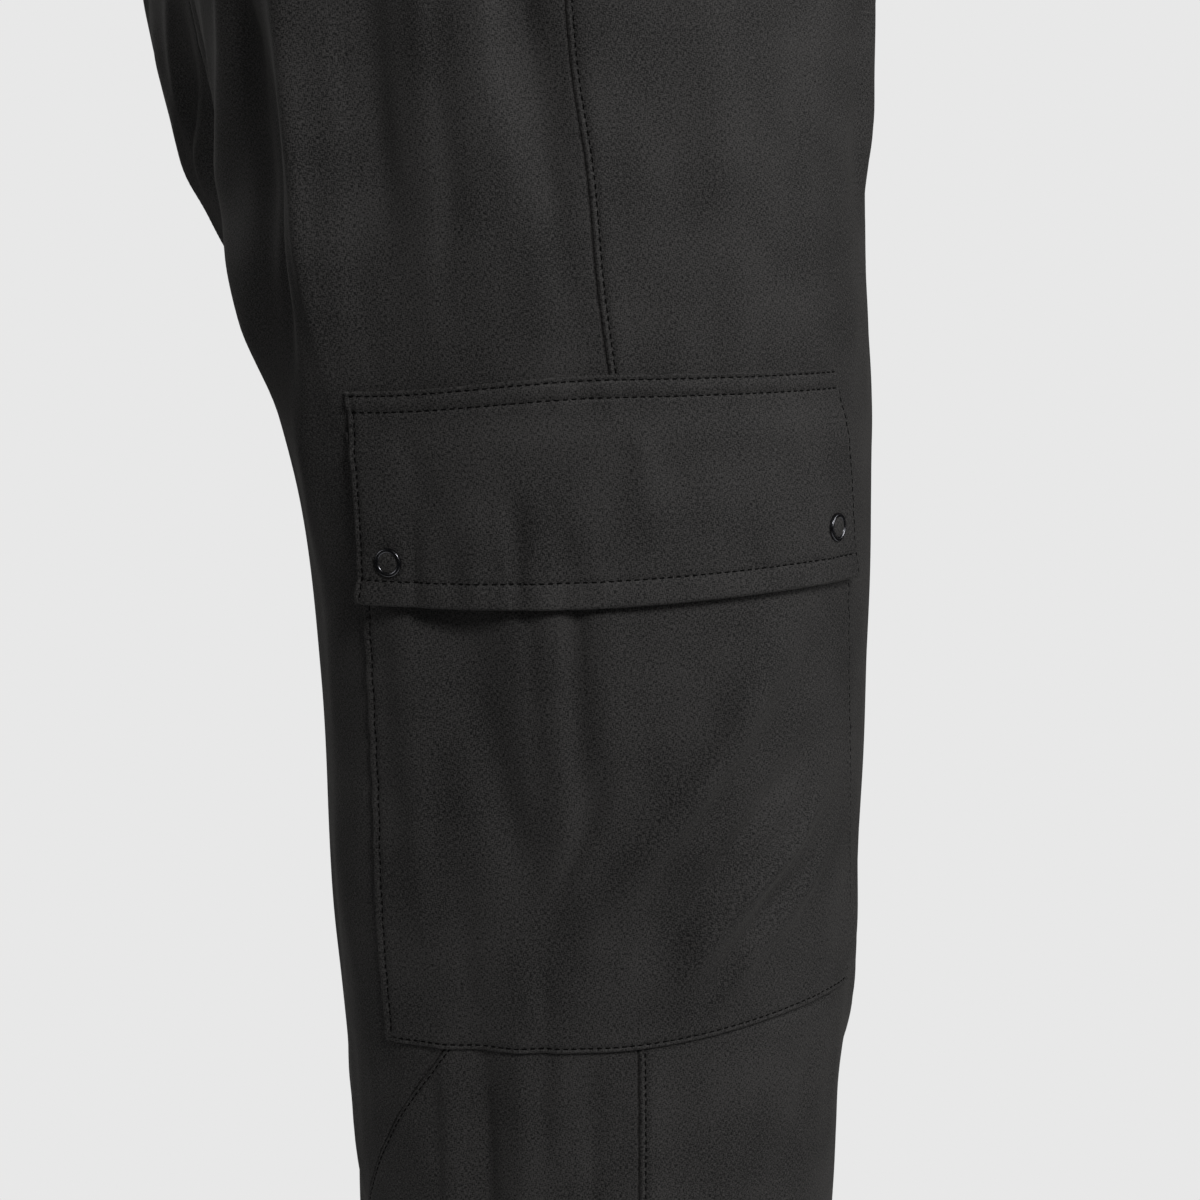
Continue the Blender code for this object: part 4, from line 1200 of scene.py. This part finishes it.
depth, out = band_profile()
share = np.linspace(-1, 1, HALF_COLUMNS + 1)[:-1, None]
left, right = band_cloth(LEFT, share, depth, out), band_cloth(RIGHT, -share, depth, out)
points = np.concatenate([left, right])
faces = grid_faces(len(points), len(depth), ring_rows=True, ring_columns=True)
faces = facing(faces, points, HALF_COLUMNS // 2, 12, np.array([1.0, 0.0, 0.0]))
band = make_mesh("waistband_cloth", points, faces, BAND_CLOTH)
run = np.linspace(0, BAND_LENGTH, len(points))[:, None]
set_cut(band, flat_cut(run, np.linspace(0, BAND_RUN, len(depth))[None, :]))
dress(band, ["waistband"])
rows = []
for row in BAND_ROWS:
    for side in (LEFT, RIGHT):
        def on_band(share, depth, lift, side=side):
            """The outer face of the waistband."""
            return band_cloth(side, share, depth, BAND_FACE_OUT, lift)

        rows.append(stitch_row(on_band, np.linspace(-0.999, 0.999, 500), row))
band_stitches = sew("waistband_stitches", rows)

# ---------------------------------------------------------------------------------------------
# Studio: a pale disc of floor below the hems, pale surroundings, and soft lights. The camera looks
# at the outer side of the left thigh from a little behind square and a little above.
# ---------------------------------------------------------------------------------------------
BACKDROP = "#e8e8e8"
FLOOR_HEIGHT, FLOOR_TURNS, FLOOR_RINGS = HEM - 0.012, 96, 24
turn = np.linspace(0, 2 * math.pi, FLOOR_TURNS + 1)[:-1][:, None]
reach = np.linspace(0.01, 1.12, FLOOR_RINGS)[None, :]
floor_points = np.stack(
    np.broadcast_arrays(reach * np.cos(turn), reach * np.sin(turn), FLOOR_HEIGHT), -1
)
# Matt paint that fades into the surroundings from 1.18 to 1.5 m from the origin.
paint, tree, shader = new_material("matt_pale_floor")
fill(tree, shader, Base_Color=srgb("#e4e4e4"), Roughness=0.9)
place = add(tree, "ShaderNodeTexCoord")
ball = add(tree, "ShaderNodeVectorMath", {"operation": "LENGTH"}, _0=(place, "Object"))
fade = {"Value": (ball, "Value"), "From_Min": 1.18, "From_Max": 1.50}
far = add(tree, "ShaderNodeMapRange", {"interpolation_type": "SMOOTHSTEP"}, **fade)
clear = add(tree, "ShaderNodeBsdfTransparent")
edge_mix = add(tree, "ShaderNodeMixShader", _0=(far, "Result"), _1=(shader, "BSDF"), _2=(clear, "BSDF"))
fill(tree, tree.nodes["Material Output"], Surface=(edge_mix, "Shader"))
faces = grid_faces(FLOOR_TURNS, FLOOR_RINGS, ring_rows=True)
make_mesh("studio_floor", floor_points, faces, paint)

world = bpy.data.worlds.new("pale_studio")
bpy.context.scene.world = world
world.use_nodes = True
tree = world.node_tree
seen = tree.nodes["Background"]
seen.inputs["Color"].default_value = srgb(BACKDROP)
lighting = add(tree, "ShaderNodeBackground", Color=srgb("#f2f4f6"), Strength=0.015)
path = add(tree, "ShaderNodeLightPath")
shares = {"_1": (lighting, "Background"), "_2": (seen, "Background")}
both = add(tree, "ShaderNodeMixShader", _0=(path, "Is Camera Ray"), **shares)
fill(tree, tree.nodes["World Output"], Surface=(both, "Shader"))



def direction_of(turn, rise):
    """Unit vector towards a turn from the front, to the wearer's left, and a rise, in degrees:
    (sin t cos r, -cos t cos r, sin r)."""
    t, r = math.radians(turn), math.radians(rise)
    return Vector((math.sin(t) * math.cos(r), -math.cos(t) * math.cos(r), math.sin(r)))


# The focal length is given in pixels of a picture 1200 wide, on a sensor 36 mm wide.
CAMERA_TURN, CAMERA_RISE, CAMERA_AWAY = 72, 7.5, 1.25
CAMERA_AIM = Vector((0.095, 0.0, -0.392))
SENSOR, PICTURE_WIDTH, FOCAL_PIXELS = 36.0, 1200, 3300
toward = direction_of(CAMERA_TURN, CAMERA_RISE)
right_of = direction_of(CAMERA_TURN + 90, 0)
lens = bpy.data.cameras.new("camera")
lens.sensor_width = SENSOR
lens.lens = FOCAL_PIXELS * SENSOR / PICTURE_WIDTH
lens.clip_start = 0.05
camera = bpy.data.objects.new("camera", lens)
bpy.context.scene.collection.objects.link(camera)
turned = Matrix((right_of, toward.cross(right_of), toward)).transposed().to_4x4()
turned.translation = CAMERA_AIM + toward * CAMERA_AWAY
camera.matrix_world = turned
bpy.context.scene.camera = camera

# Softboxes: name, turn and rise of the direction they stand in from the thigh in degrees, how far
# away, width, height, power in watts.
SOFTBOXES = (
    ("key_softbox", 95, 33, 2.0, 0.5, 0.5, 13.2),
    ("back_softbox", 155, 15, 2.0, 0.8, 0.8, 8.6),
    ("front_fill", -5, 15, 2.0, 0.8, 0.8, 2.2),
    ("far_rim_softbox", -75, 45, 2.0, 0.8, 0.8, 15.0),
)
LIGHT_AIM = Vector((0.10, 0.0, -0.40))
for name, turn, rise, away, width, tall, power in SOFTBOXES:
    lamp = bpy.data.lights.new(name, "AREA")
    lamp.shape = "RECTANGLE"
    lamp.size = width
    lamp.size_y = tall
    lamp.energy = power
    direction = direction_of(turn, rise)
    box = bpy.data.objects.new(name, lamp)
    box.location = LIGHT_AIM + direction * away
    box.rotation_euler = direction.to_track_quat("Z", "Y").to_euler()
    bpy.context.scene.collection.objects.link(box)

bpy.context.scene.view_settings.view_transform = "Standard"
